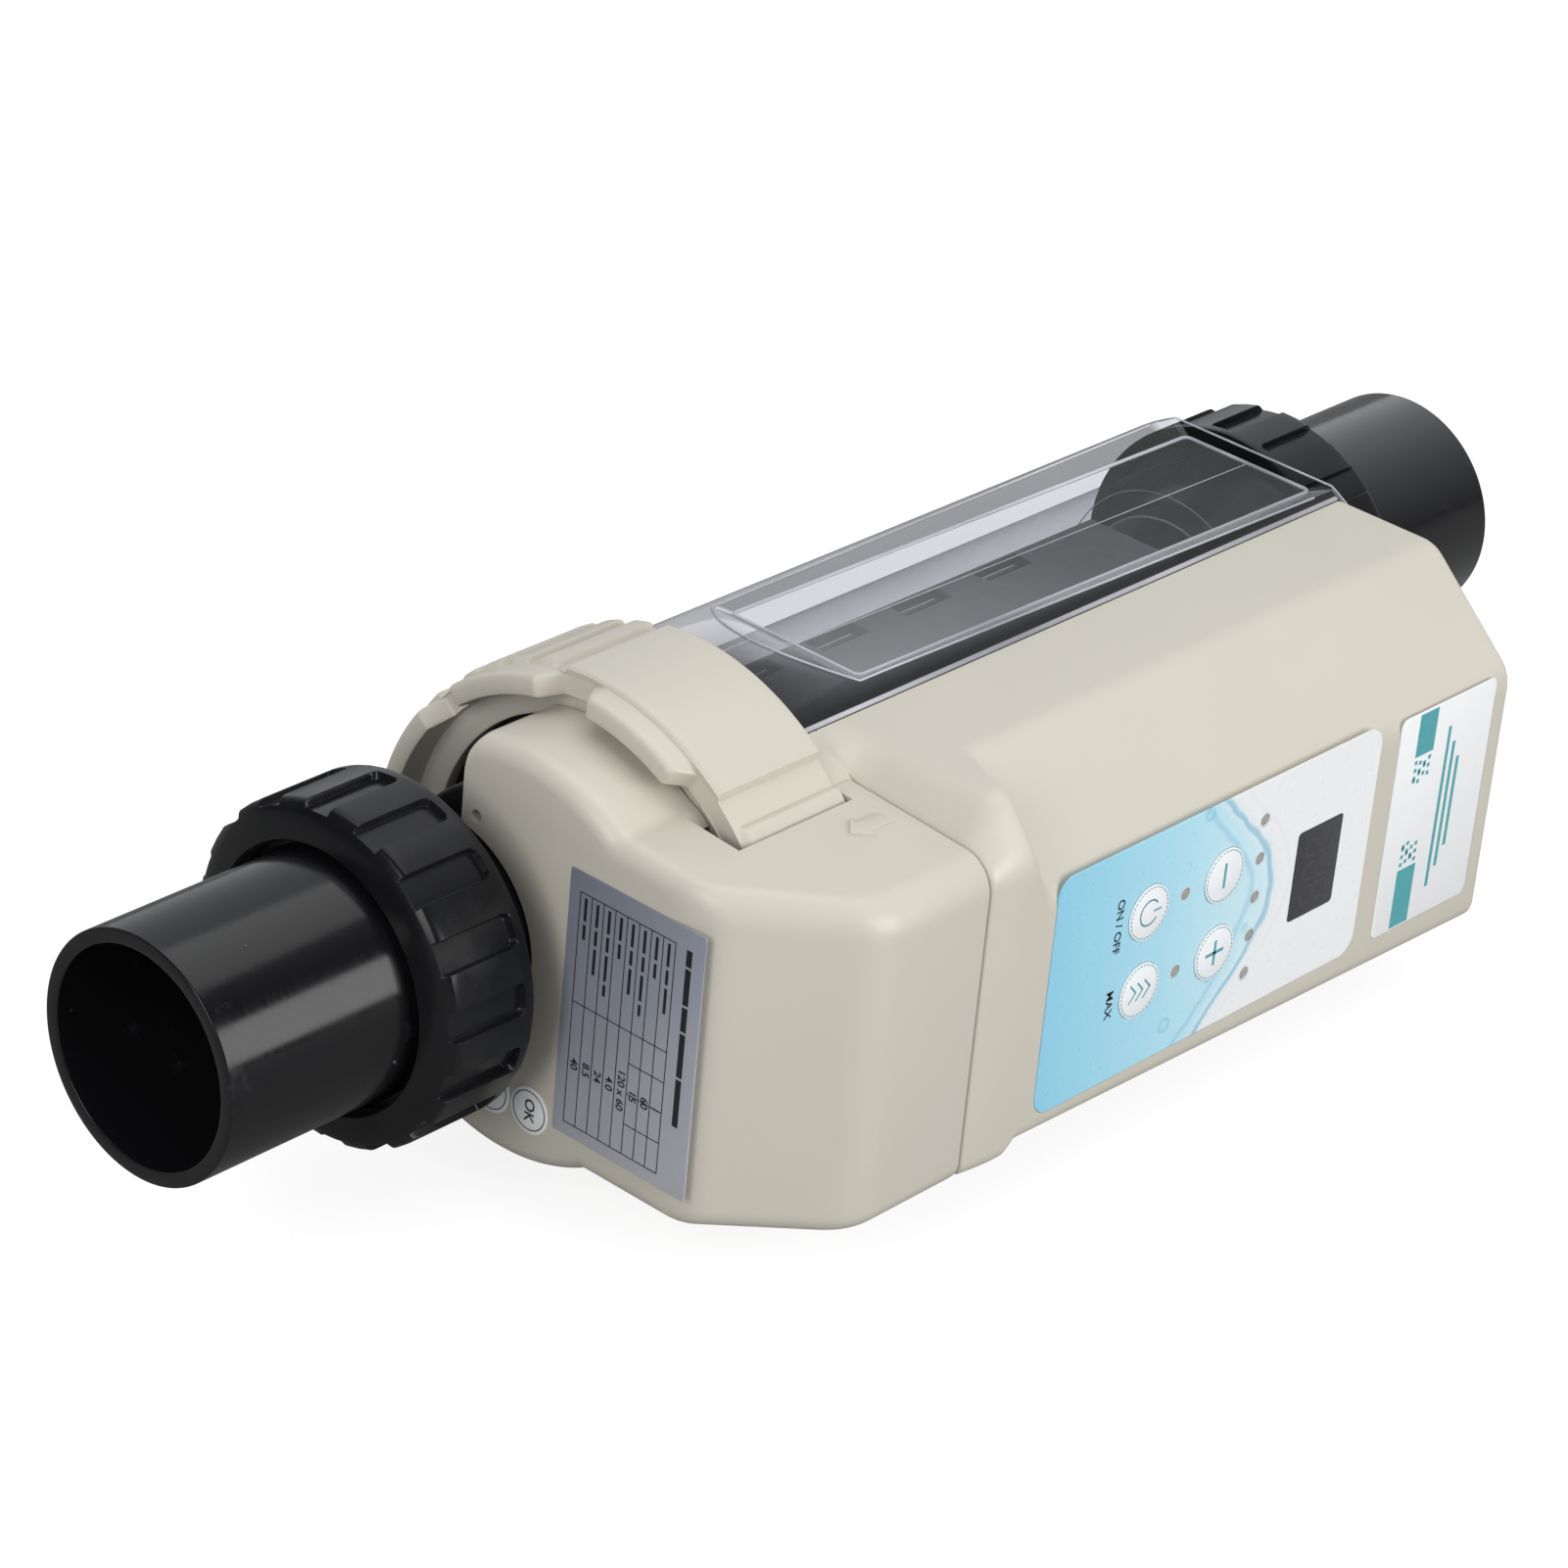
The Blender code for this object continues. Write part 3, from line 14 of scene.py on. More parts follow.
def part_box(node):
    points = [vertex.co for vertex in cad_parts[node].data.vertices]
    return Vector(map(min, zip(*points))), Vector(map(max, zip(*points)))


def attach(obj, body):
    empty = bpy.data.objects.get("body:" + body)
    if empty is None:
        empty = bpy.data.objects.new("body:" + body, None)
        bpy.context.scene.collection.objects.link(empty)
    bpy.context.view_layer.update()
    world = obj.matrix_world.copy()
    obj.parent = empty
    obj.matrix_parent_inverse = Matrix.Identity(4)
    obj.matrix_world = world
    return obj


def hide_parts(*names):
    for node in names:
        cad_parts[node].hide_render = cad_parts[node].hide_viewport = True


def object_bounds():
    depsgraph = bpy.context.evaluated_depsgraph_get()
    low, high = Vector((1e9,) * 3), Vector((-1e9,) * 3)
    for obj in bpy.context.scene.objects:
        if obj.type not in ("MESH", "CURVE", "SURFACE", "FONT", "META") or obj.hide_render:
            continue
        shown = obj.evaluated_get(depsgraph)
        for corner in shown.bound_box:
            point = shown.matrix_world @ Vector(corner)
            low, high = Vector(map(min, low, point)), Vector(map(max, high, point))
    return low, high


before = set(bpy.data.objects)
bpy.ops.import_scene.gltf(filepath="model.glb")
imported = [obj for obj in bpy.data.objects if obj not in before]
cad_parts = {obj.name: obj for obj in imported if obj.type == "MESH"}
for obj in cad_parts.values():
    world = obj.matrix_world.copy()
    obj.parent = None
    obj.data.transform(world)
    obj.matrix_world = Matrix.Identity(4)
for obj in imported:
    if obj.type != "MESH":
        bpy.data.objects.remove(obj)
CAD_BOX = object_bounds()

MM = 0.001


def span(node):
    """Lowest and highest corner of a CAD node, in millimetres."""
    low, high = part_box(node)
    return low / MM, high / MM


# Places taken from the CAD nodes
NUT_LOW, NUT_HIGH = span("head_end_union_nut")
CELL_LOW = span("clear_cell")[0]
RING_LOW, RING_HIGH = span("lock_ring")
COVER_LOW, COVER_HIGH = span("head_cover")
HOUSING_HIGH = span("electronics_housing")[1]
OVERLAY_LOW, OVERLAY_HIGH = span("control_overlay")
DISPLAY_LOW, DISPLAY_HIGH = span("display_window")
SERIES_LOW, SERIES_HIGH = span("series_label")
RATING_LOW, RATING_HIGH = span("rating_label")
FAR_PIPE_HIGH = span("far_end_tail_pipe")[1]

TOTAL_LENGTH = FAR_PIPE_HIGH.x
CELL_Y = (RING_LOW.y + RING_HIGH.y) / 2
ROUND = 192

# Tail pipes and union nuts
PIPE_RADIUS = 30.15
PIPE_BORE = 26.25
PIPE_STOP_RADIUS = 24.6
PIPE_STOP_X = 48.0
FLANGE_RADIUS = 36.8
NUT_RADIUS = 42.1
NUT_FLOOR = 40.3
NUT_THROAT = 32.4
NUT_THREAD = 37.6
NUT_FACE_BACK = NUT_LOW.x + 5.0
POCKETS = 16
POCKET_COLUMNS = 36
POCKET_START = 7.15
POCKET_HALF = 5.6
POCKET_END_X = 77.5
POCKET_CORNER = 1.9
UNION_RADIUS = 37.3
UNION_FACE_X = 64.2
UNION_END_X = 79.6
NECK_RADIUS = 27.0
PORT_BORE = 24.0

# Lock ring
RING_RADIUS = 63.5
RING_VALLEY = 61.6
RIB_TOP = 63.1
RING_INNER = 60.0
RING_LIP = 49.6
RING_REST_X = 117.6
RING_NEAR_X = 117.0
RING_FAR_X = RING_HIGH.x
WEB_X = 119.5
WEB_BACK_X = 123.1
LUG_FRONT_X = RING_LOW.x
LUG_OUTER = 62.0
LUG_INNER = 56.5
LUG_SPANS = ((-32.0, 1.5), (9.0, 45.0), (50.0, 86.0), (91.0, 127.0))
LUG_RAMP = 4.5
PAD_END = 9.0
PAD_SPAN = 47.0
RIB_START = 7.2
RIB_PITCH = 8.6
RIB_SPAN = 5.2
RIBS = 4

# Clear cell
CELL_RADIUS = 57.0
CELL_BORE = 46.5
CELL_END_X = TOTAL_LENGTH - 97.6
CELL_STEPS = 144
THREAD_RADIUS = 59.6
THREAD_END_X = 149.0
THREAD_PITCH = 5.0
END_WALL = 5.0
WINDOW_Z = 50.6
WINDOW_FALL = 3.0
WINDOW_HALF = 20.1
WINDOW_X = (184.0, 355.3)
WINDOW_RISE = math.tan(math.radians(22.0))
LINER_SIGHT_Y = -43.5

# Head cover and housing
SEAM_X = COVER_HIGH.x
COVER_WALL = 2.6
COVER_EDGE_Y = -3.0
ARCH_RADIUS = 52.4
COVER_BLEND = 8.0
COVER_TOP_Z = 43.0
COVER_TOP_DROP = 3.8
COVER_SIDE_Y = -106.0
COVER_FACE_Y = -77.0
COVER_BOTTOM_Z = -45.3
COVER_CORNER = 9.0
COVER_LOW_CORNER = 5.5
COVER_FRONT_FILLET = 5.0
SLOT_FRONT_X = 113.7
SLOT_RADIUS = 64.3
SLOT_INNER = 53.2
COVER_HOLE = (-7.6, 31.0)
HOUSING_START_X = SEAM_X + 0.5
HOUSING_END_X = HOUSING_HIGH.x
HOUSING_END_FILLET = 3.2
HOUSING_TOP_Z = 48.9
HOUSING_SIDE_Y = -107.2
HOUSING_WALL = 2.8
LINER_RADIUS = CELL_RADIUS + 0.3

# Control panel
BUTTONS = {
    "standby_button": (216.4, 6.0),
    "boost_button": (216.4, -15.0),
    "minus_button": (244.6, 5.8),
    "plus_button": (244.6, -15.2),
}
BUTTON_RADIUS = 7.2
LAMPS = tuple("indicator_light_%d" % (k + 1) for k in range(7))

# Viewpoint and backdrop, in metres
LENS = 129.72
VIEW_PLACE = (-0.716167, -0.774458, 0.646531)
VIEW_RIGHT = (0.673788, -0.734095, 0.084349)
VIEW_UP = (0.300553, 0.37655, 0.876286)
VIEW_BACK = (-0.675039, -0.56508, 0.474349)
BACKDROP_SIDE = (0.67, 0.57, 0.47)
FLOOR_GLOW = 0.82


# Camera, lights and backdrop


def add_camera():
    """The viewpoint: above the head end, on the control panel's side."""
    data = bpy.data.cameras.new("camera")
    data.lens = LENS
    data.sensor_width = 36.0
    data.clip_start = 0.05
    camera = bpy.data.objects.new("camera", data)
    bpy.context.scene.collection.objects.link(camera)
    turn = Matrix((VIEW_RIGHT, VIEW_UP, VIEW_BACK)).transposed().to_4x4()
    camera.matrix_world = Matrix.Translation(VIEW_PLACE) @ turn
    bpy.context.scene.camera = camera


def add_panel_light(name, place, target, size, watts):
    """A soft box at place that faces target."""
    data = bpy.data.lights.new(name, "AREA")
    data.shape = "RECTANGLE"
    data.size, data.size_y = size
    data.energy = watts
    lamp = bpy.data.objects.new(name, data)
    bpy.context.scene.collection.objects.link(lamp)
    aim = Vector(target) - Vector(place)
    turn = aim.to_track_quat("-Z", "Y").to_matrix().to_4x4()
    lamp.matrix_world = Matrix.Translation(place) @ turn


def add_lights():
    middle = (0.22, -0.04, 0.0)
    add_panel_light("overhead_box", (0.35, 0.15, 1.5), middle, (1.5, 1.1), 6.6)
    add_panel_light("head_end_box", (-1.3, -0.35, 0.75), middle, (0.5, 1.1), 10.0)
    add_panel_light("panel_box", (0.5, -1.6, 0.55), middle, (1.3, 0.9), 18.0)


def add_world():
    """White for everything that sees the surroundings, and a dimmer grey that lights the object."""
    world = bpy.data.worlds.new("studio")
    world.use_nodes = True
    bpy.context.scene.world = world
    tree = world.node_tree
    tree.nodes.clear()
    white = add(tree, "ShaderNodeBackground", {"Color": (1.0, 1.0, 1.0, 1.0), "Strength": 1.0})
    fill = add(tree, "ShaderNodeBackground", {"Color": (0.96, 0.98, 1.0, 1.0), "Strength": 0.5})
    path = add(tree, "ShaderNodeLightPath")
    place = add(tree, "ShaderNodeTexCoord")
    facing = add(tree, "ShaderNodeVectorMath", {1: BACKDROP_SIDE}, operation="DOT_PRODUCT")
    wire(tree, place.outputs["Generated"], facing.inputs[0])
    mirrored = fit(tree, facing.outputs["Value"], 0.25, 0.9, 0.05, 1.0)
    strength = add(tree, "ShaderNodeMix", {"A": 0.5}, data_type="FLOAT")
    wire(tree, path.outputs["Is Glossy Ray"], strength.inputs["Factor"])
    wire(tree, mirrored, strength.inputs["B"])
    wire(tree, strength.outputs["Result"], fill.inputs["Strength"])
    both = mixed(tree, seen_directly(tree), fill, white)
    wire(tree, both.outputs[0], add(tree, "ShaderNodeOutputWorld").inputs[0])


def seen_directly(tree):
    """1 for rays that show the backdrop itself, 0 for those that carry its light to the object."""
    path = add(tree, "ShaderNodeLightPath")
    return sums(tree, "MAXIMUM", path.outputs["Is Camera Ray"], path.outputs["Is Transmission Ray"])


def add_floor():
    """Plain white floor that the ring rests on, with the object's shadow left on it."""
    work = bmesh.new()
    bmesh.ops.create_grid(work, x_segments=1, y_segments=1, size=6.0)
    bmesh.ops.translate(work, verts=work.verts, vec=(0.2, 0.0, CAD_BOX[0][2] - 0.0005))
    floor = as_object(work, "floor")
    material, tree, shader = new_material("floor_white")
    shader.inputs["Base Color"].default_value = (0.34, 0.34, 0.34, 1.0)
    shader.inputs["Roughness"].default_value = 0.9
    shader.inputs["Specular IOR Level"].default_value = 0.0
    glow = add(tree, "ShaderNodeEmission", {"Color": (1.0, 1.0, 1.0, 1.0)})
    wire(tree, product(tree, seen_directly(tree), FLOOR_GLOW), glow.inputs["Strength"])
    both = add(tree, "ShaderNodeAddShader")
    wire(tree, shader.outputs[0], both.inputs[0])
    wire(tree, glow.outputs[0], both.inputs[1])
    wire(tree, both.outputs[0], tree.nodes["Material Output"].inputs["Surface"])
    floor.data.materials.append(material)


# Material building


def new_material(name):
    material = bpy.data.materials.new(name)
    material.use_nodes = True
    return material, material.node_tree, material.node_tree.nodes["Principled BSDF"]


def add(tree, kind, values=None, **settings):
    """A node of that kind, with its settings and its input values."""
    made = tree.nodes.new(kind)
    for key, value in settings.items():
        setattr(made, key, value)
    for key, value in (values or {}).items():
        made.inputs[key].default_value = value
    return made


def wire(tree, source, target):
    tree.links.new(source, target)


def noise(tree, scale, detail=3.0, stretch=(1.0, 1.0, 1.0), roughness=0.55):
    """Noise on the object's own coordinates, in features per metre."""
    place = add(tree, "ShaderNodeTexCoord")
    mapping = add(tree, "ShaderNodeMapping")
    mapping.inputs["Scale"].default_value = stretch
    wire(tree, place.outputs["Object"], mapping.inputs["Vector"])
    values = {"Scale": scale, "Detail": detail, "Roughness": roughness}
    made = add(tree, "ShaderNodeTexNoise", values)
    wire(tree, mapping.outputs["Vector"], made.inputs["Vector"])
    return made.outputs["Fac"]


def ramp(tree, source, stops):
    """Colour of source between (position, colour) stops."""
    made = add(tree, "ShaderNodeValToRGB")
    elements = made.color_ramp.elements
    while len(elements) < len(stops):
        elements.new(0.5)
    for element, (position, colour) in zip(elements, stops):
        element.position = position
        element.color = (*colour, 1.0)
    wire(tree, source, made.inputs["Fac"])
    return made.outputs["Color"]


def fit(tree, source, low, high, to_low, to_high):
    """Source from low to high, turned into to_low to to_high."""
    ends = {"From Min": low, "From Max": high, "To Min": to_low, "To Max": to_high}
    made = add(tree, "ShaderNodeMapRange", ends)
    wire(tree, source, made.inputs["Value"])
    return made.outputs["Result"]


def sums(tree, operation, first, second=0.0, third=0.0):
    """One maths step; each input is a number or another node's output."""
    made = add(tree, "ShaderNodeMath", operation=operation)
    for k, value in enumerate((first, second, third)):
        if isinstance(value, (int, float)):
            made.inputs[k].default_value = value
        else:
            wire(tree, value, made.inputs[k])
    return made.outputs[0]


def product(tree, first, *factors):
    """All the inputs multiplied together."""
    for factor in factors:
        first = sums(tree, "MULTIPLY", first, factor)
    return first


def varied(tree, source, low, high):
    """Low to high over the usual swing of a noise."""
    return fit(tree, source, 0.3, 0.7, low, high)


def held(tree, source, low=0.0, high=1.0):
    """Source kept between 0 and 1, then turned into low to high."""
    return fit(tree, source, 0.0, 1.0, low, high)


def blend(tree, share, first, second):
    """Colour between first and second; each is a colour or another node's output."""
    made = add(tree, "ShaderNodeMix", data_type="RGBA")
    wire(tree, share, made.inputs[0])
    for socket, value in ((made.inputs[6], first), (made.inputs[7], second)):
        if isinstance(value, tuple):
            socket.default_value = (*value, 1.0)
        else:
            wire(tree, value, socket)
    return made.outputs[2]


def mixed(tree, share, first, second):
    """Shader between first and second."""
    made = add(tree, "ShaderNodeMixShader")
    wire(tree, share, made.inputs[0])
    wire(tree, first.outputs[0], made.inputs[1])
    wire(tree, second.outputs[0], made.inputs[2])
    return made


def coat(tree, shader, colour, roughness):
    """Gives a surface its colour and its roughness."""
    wire(tree, colour, shader.inputs["Base Color"])
    wire(tree, roughness, shader.inputs["Roughness"])


def relief(tree, shader, height, strength, distance):
    made = add(tree, "ShaderNodeBump", {"Strength": strength, "Distance": distance})
    wire(tree, height, made.inputs["Height"])
    wire(tree, made.outputs["Normal"], shader.inputs["Normal"])


def moulded_beige():
    """Warm off-white ABS with a fine spark-eroded grain."""
    material, tree, shader = new_material("beige_moulding")
    stops = [(0.35, (0.555, 0.524, 0.448)), (0.65, (0.575, 0.543, 0.466))]
    tone = ramp(tree, noise(tree, 16.0, 2.0), stops)
    flecks = fit(tree, noise(tree, 900.0, 2.0), 0.72, 0.78, 0.0, 0.12)
    colour = blend(tree, flecks, tone, (0.42, 0.38, 0.31))
    coat(tree, shader, colour, varied(tree, noise(tree, 60.0), 0.34, 0.43))
    relief(tree, shader, noise(tree, 2200.0, 2.0), 0.10, 0.00012)
    return material


def turned_black():
    """Black pipe polished by its mould, with faint tooling marks, scuffs and pale chips."""
    material, tree, shader = new_material("pipe_gloss_black")
    lines = noise(tree, 260.0, 3.0, (2.6, 0.12, 0.12))
    scuff = noise(tree, 70.0, 4.0, (1.0, 1.6, 1.0), 0.7)
    chips = noise(tree, 210.0, 2.0, roughness=0.8)
    worn = fit(tree, scuff, 0.62, 0.72, 0.0, 0.35)
    dull = blend(tree, worn, (0.0062, 0.0062, 0.0072), (0.03, 0.03, 0.034))
    chipped = fit(tree, chips, 0.745, 0.775, 0.0, 0.8)
    shine = sums(tree, "ADD", varied(tree, lines, 0.12, 0.20), product(tree, worn, 0.35))
    coat(tree, shader, blend(tree, chipped, dull, (0.22, 0.22, 0.23)), shine)
    shader.inputs["Specular IOR Level"].default_value = 0.34
    relief(tree, shader, lines, 0.12, 0.00006)
    return material


def moulded_black(name, roughness, grain=1.0):
    """Black moulding with a fine grain and a little dust; roughness sets how far it shines."""
    material, tree, shader = new_material(name)
    stops = [(0.35, (0.0062, 0.0063, 0.0072)), (0.7, (0.0095, 0.0097, 0.0108))]
    tone = ramp(tree, noise(tree, 45.0, 3.0), stops)
    dust = fit(tree, noise(tree, 1100.0, 2.0, roughness=0.6), 0.79, 0.84, 0.0, 0.10)
    spread = varied(tree, noise(tree, 120.0), roughness - 0.05, roughness + 0.07)
    coat(tree, shader, blend(tree, dust, tone, (0.12, 0.12, 0.12)), spread)
    shader.inputs["Specular IOR Level"].default_value = 0.24
    relief(tree, shader, noise(tree, 1900.0, 2.0), 0.07 * grain, 0.00008)
    return material


def smoked_clear():
    """Smoke-tinted clear plastic: pale where light falls through it, near black by the liner, with a painted
    sheen at grazing angles and painted glints over the liner.
    """
    material, tree, shader = new_material("smoked_clear")
    shader.inputs["Base Color"].default_value = (0.02, 0.02, 0.023, 1.0)
    shader.inputs["Specular IOR Level"].default_value = 0.6
    flow = noise(tree, 26.0, 2.0, (0.3, 1.0, 1.0))
    streak = noise(tree, 170.0, 2.0, (0.03, 1.0, 1.0))
    wire(tree, varied(tree, noise(tree, 90.0), 0.05, 0.10), shader.inputs["Roughness"])
    relief(tree, shader, flow, 0.08, 0.0004)
    lit_side = held(tree, along(tree, "Y", CELL_Y - 30.0, CELL_Y + 26.0))
    pale = held(tree, along(tree, "X", RING_FAR_X + 4.0, WINDOW_X[0] - 2.0), 0.35, 1.0)
    share = sums(tree, "MINIMUM", sums(tree, "MAXIMUM", lit_side, pale), 1.0)
    liner = held(tree, along(tree, "Y", LINER_SIGHT_Y - 3.5, LINER_SIGHT_Y + 0.5), 0.08, 1.0)
    level = product(tree, share, liner, tray_shade(tree), varied(tree, flow, 0.765, 0.82))
    tint = add(tree, "ShaderNodeCombineColor")
    wire(tree, level, tint.inputs[0])
    wire(tree, level, tint.inputs[1])
    wire(tree, product(tree, level, 1.03), tint.inputs[2])
    through = add(tree, "ShaderNodeBsdfTransparent")
    wire(tree, tint.outputs[0], through.inputs["Color"])
    rim = add(tree, "ShaderNodeLayerWeight", {"Blend": 0.5}).outputs["Facing"]
    inward = add(tree, "ShaderNodeNewGeometry").outputs["Backfacing"]
    outside = sums(tree, "SUBTRACT", 1.0, inward)
    # Painted sheen: a whitish diffuse is mixed in at grazing angles on the outside, and painted glints run
    # in thin streaks over the liner.
    grazing_sheen_share = product(tree, fit(tree, rim, 0.55, 1.0, 0.0, 0.55), outside)
    over_liner = fit(tree, liner, 0.1, 0.9, 1.0, 0.0)
    painted_glints = product(tree, fit(tree, streak, 0.66, 0.70, 0.0, 0.5), over_liner)
    sheen_paint = add(tree, "ShaderNodeBsdfDiffuse", {"Color": (0.62, 0.63, 0.67, 1.0)})
    through_and_sheen = mixed(tree, sums(tree, "MAXIMUM", grazing_sheen_share, painted_glints), through, sheen_paint)
    gloss = sums(tree, "MULTIPLY_ADD", sums(tree, "POWER", rim, 5.0), 0.9, 0.05)
    mirror = add(tree, "ShaderNodeBsdfGlossy", {"Roughness": 0.07})
    both = mixed(tree, product(tree, gloss, outside), through_and_sheen, mirror)
    wire(tree, both.outputs[0], tree.nodes["Material Output"].inputs["Surface"])
    return material


def tray_shade(tree):
    """Painted shade on the window's near slope and on its slope away from the housing, where the see-through
    tint is made darker.
    """
    surface = add(tree, "ShaderNodeNewGeometry")
    split = add(tree, "ShaderNodeSeparateXYZ")
    wire(tree, surface.outputs["Normal"], split.inputs[0])
    near = fit(tree, split.outputs["X"], 0.2, 0.34, 0.0, 1.0)
    away = fit(tree, split.outputs["Y"], -0.2, -0.34, 0.0, 1.0)
    away = product(tree, away, held(tree, along(tree, "Y", CELL_Y, CELL_Y + 8.0)))
    top = held(tree, along(tree, "Z", WINDOW_Z - 5.0, WINDOW_Z - 3.0))
    length = held(tree, along(tree, "X", WINDOW_X[1] - 8.0, WINDOW_X[1] - 4.0), 1.0, 0.0)
    share = product(tree, sums(tree, "MAXIMUM", near, away), top, length)
    return held(tree, share, 1.0, 0.42)


def clear_edge_highlight():
    """Pale grey for the rounded edges and lines of the clear moulding: a painted highlight where they catch
    light.
    """
    material, tree, shader = new_material("clear_edge_highlight")
    stops = [(0.3, (0.42, 0.43, 0.48)), (0.7, (0.72, 0.73, 0.78))]
    tone = ramp(tree, noise(tree, 60.0, 2.0, (0.2, 1.0, 1.0)), stops)
    coat(tree, shader, tone, varied(tree, noise(tree, 200.0), 0.10, 0.2))
    cover = varied(tree, noise(tree, 34.0, 2.0, (0.3, 1.0, 1.0)), 0.35, 0.85)
    wire(tree, cover, shader.inputs["Alpha"])
    return material


def along(tree, axis, low, high):
    """Share of the way from low to high millimetres along one axis."""
    place = add(tree, "ShaderNodeTexCoord")
    split = add(tree, "ShaderNodeSeparateXYZ")
    wire(tree, place.outputs["Object"], split.inputs[0])
    ends = {"From Min": low * MM, "From Max": high * MM}
    made = add(tree, "ShaderNodeMapRange", ends, clamp=False)
    wire(tree, split.outputs[axis], made.inputs["Value"])
    return made.outputs["Result"]


def panel_film():
    """Printed film: sky blue behind a soft wave, then white, with wavelets along its crest."""
    material, tree, shader = new_material("panel_film")
    across = along(tree, "X", OVERLAY_LOW.x, OVERLAY_HIGH.x)
    upward = along(tree, "Z", OVERLAY_LOW.z, OVERLAY_HIGH.z)
    swell = sums(tree, "SINE", sums(tree, "MULTIPLY_ADD", upward, 3.4, -0.2))
    crest = sums(tree, "MULTIPLY_ADD", swell, 0.16, 0.50)
    ripple = sums(tree, "MULTIPLY_ADD", noise(tree, 60.0, 2.0), 0.06, -0.03)
    past = sums(tree, "ADD", sums(tree, "SUBTRACT", across, crest), ripple)
    stops = [(0.0, (0.262, 0.60, 0.775)), (0.35, (0.40, 0.70, 0.83)), (0.62, (0.58, 0.79, 0.86))]
    paper = (0.82, 0.83, 0.84)
    field = blend(tree, fit(tree, past, -0.02, 0.05, 0.0, 1.0), ramp(tree, across, stops), paper)
    lines = sums(tree, "SINE", product(tree, past, 95.0))
    far = fit(tree, sums(tree, "ABSOLUTE", past), 0.0, 0.085, 0.0, 1.0)
    near = sums(tree, "SUBTRACT", 1.0, far)
    wavelets = product(tree, fit(tree, lines, 0.35, 0.95, 0.0, 0.75), near)
    waved = blend(tree, wavelets, field, (0.12, 0.42, 0.60))
    colour = blend(tree, drops(tree, past), waved, (0.16, 0.48, 0.66))
    coat(tree, shader, colour, varied(tree, noise(tree, 300.0), 0.26, 0.34))
    relief(tree, shader, noise(tree, 1300.0, 2.0), 0.02, 0.00003)
    return material


def drops(tree, past):
    """Thin rings of scattered drops on the blue side of the wave."""
    place = add(tree, "ShaderNodeTexCoord")
    cells = add(tree, "ShaderNodeTexVoronoi", {"Scale": 85.0, "Randomness": 1.0})
    wire(tree, place.outputs["Object"], cells.inputs["Vector"])
    away = sums(tree, "ABSOLUTE", sums(tree, "SUBTRACT", cells.outputs["Distance"], 0.15))
    edge = fit(tree, away, 0.02, 0.045, 1.0, 0.0)
    zone = fit(tree, sums(tree, "ABSOLUTE", sums(tree, "ADD", past, 0.10)), 0.05, 0.11, 0.5, 0.0)
    return product(tree, edge, zone)


def silver_film():
    """Printed silver label that darkens toward its upper inner corner."""
    material, tree, shader = new_material("silver_film")
    down = along(tree, "Z", RATING_HIGH.z, RATING_LOW.z)
    outward = along(tree, "Y", RATING_HIGH.y, RATING_LOW.y)
    share = sums(tree, "MULTIPLY_ADD", down, 0.75, product(tree, outward, 0.35))
    brushed = noise(tree, 500.0, 2.0, (1.0, 1.0, 0.05))
    mottled = sums(tree, "MULTIPLY_ADD", brushed, 0.10, sums(tree, "SUBTRACT", share, 0.05))
    stops = [(0.0, (0.23, 0.25, 0.31)), (0.45, (0.36, 0.38, 0.45)), (1.0, (0.56, 0.57, 0.61))]
    coat(tree, shader, ramp(tree, mottled, stops), varied(tree, brushed, 0.30, 0.38))
    shader.inputs["Metallic"].default_value = 0.25
    relief(tree, shader, brushed, 0.05, 0.00005)
    return material


def printed(name, colour, roughness=0.4, spread=0.04):
    """Ink or coated paper of one colour, uneven enough to look printed."""
    material, tree, shader = new_material(name)
    soft = tuple(c * (1.0 - spread) for c in colour)
    tone = ramp(tree, noise(tree, 240.0, 2.0), [(0.35, soft), (0.65, colour)])
    coat(tree, shader, tone, varied(tree, noise(tree, 420.0), roughness - 0.04, roughness + 0.05))
    relief(tree, shader, noise(tree, 1600.0, 2.0), 0.05, 0.00004)
    return material


def metal(name, colour, roughness):
    """Drawn or coated metal with marks along its length."""
    material, tree, shader = new_material(name)
    marks = noise(tree, 420.0, 3.0, (0.08, 1.0, 1.0))
    dark = tuple(c * 0.8 for c in colour)
    tone = ramp(tree, marks, [(0.3, dark), (0.7, colour)])
    coat(tree, shader, tone, varied(tree, marks, roughness - 0.06, roughness + 0.08))
    shader.inputs["Metallic"].default_value = 1.0
    relief(tree, shader, marks, 0.08, 0.00005)
    return material


def solder_mask():
    """Green circuit board with faint tracks."""
    material, tree, shader = new_material("solder_mask")
    tracks = noise(tree, 260.0, 1.0, (1.0, 1.0, 0.3))
    tone = ramp(tree, tracks, [(0.47, (0.02, 0.16, 0.07)), (0.53, (0.035, 0.24, 0.11))])
    coat(tree, shader, tone, varied(tree, tracks, 0.28, 0.4))
    relief(tree, shader, tracks, 0.2, 0.00005)
    return material


# Mesh building


def closed_section(points):
    """A mesh that holds one closed outline of (x, radius) points, standing above the axis."""
    work = bmesh.new()
    corners = [work.verts.new((x, 0.0, radius)) for x, radius in points]
    for k, corner in enumerate(corners):
        work.edges.new((corner, corners[(k + 1) % len(corners)]))
    return work


def turned(points, centre_y=0.0, steps=ROUND):
    """The outline turned once round the X axis, then moved out to centre_y."""
    work = closed_section(points)
    bmesh.ops.spin(
        work,
        geom=work.verts[:] + work.edges[:],
        cent=(0.0, 0.0, 0.0),
        axis=(-1.0, 0.0, 0.0),
        dvec=(0.0, 0.0, 0.0),
        angle=2 * math.pi,
        steps=steps,
        use_merge=True,
        use_duplicate=False,
    )
    bmesh.ops.remove_doubles(work, verts=work.verts, dist=0.0004)
    bmesh.ops.recalc_face_normals(work, faces=work.faces)
    bmesh.ops.translate(work, verts=work.verts, vec=(0.0, centre_y, 0.0))
    return work


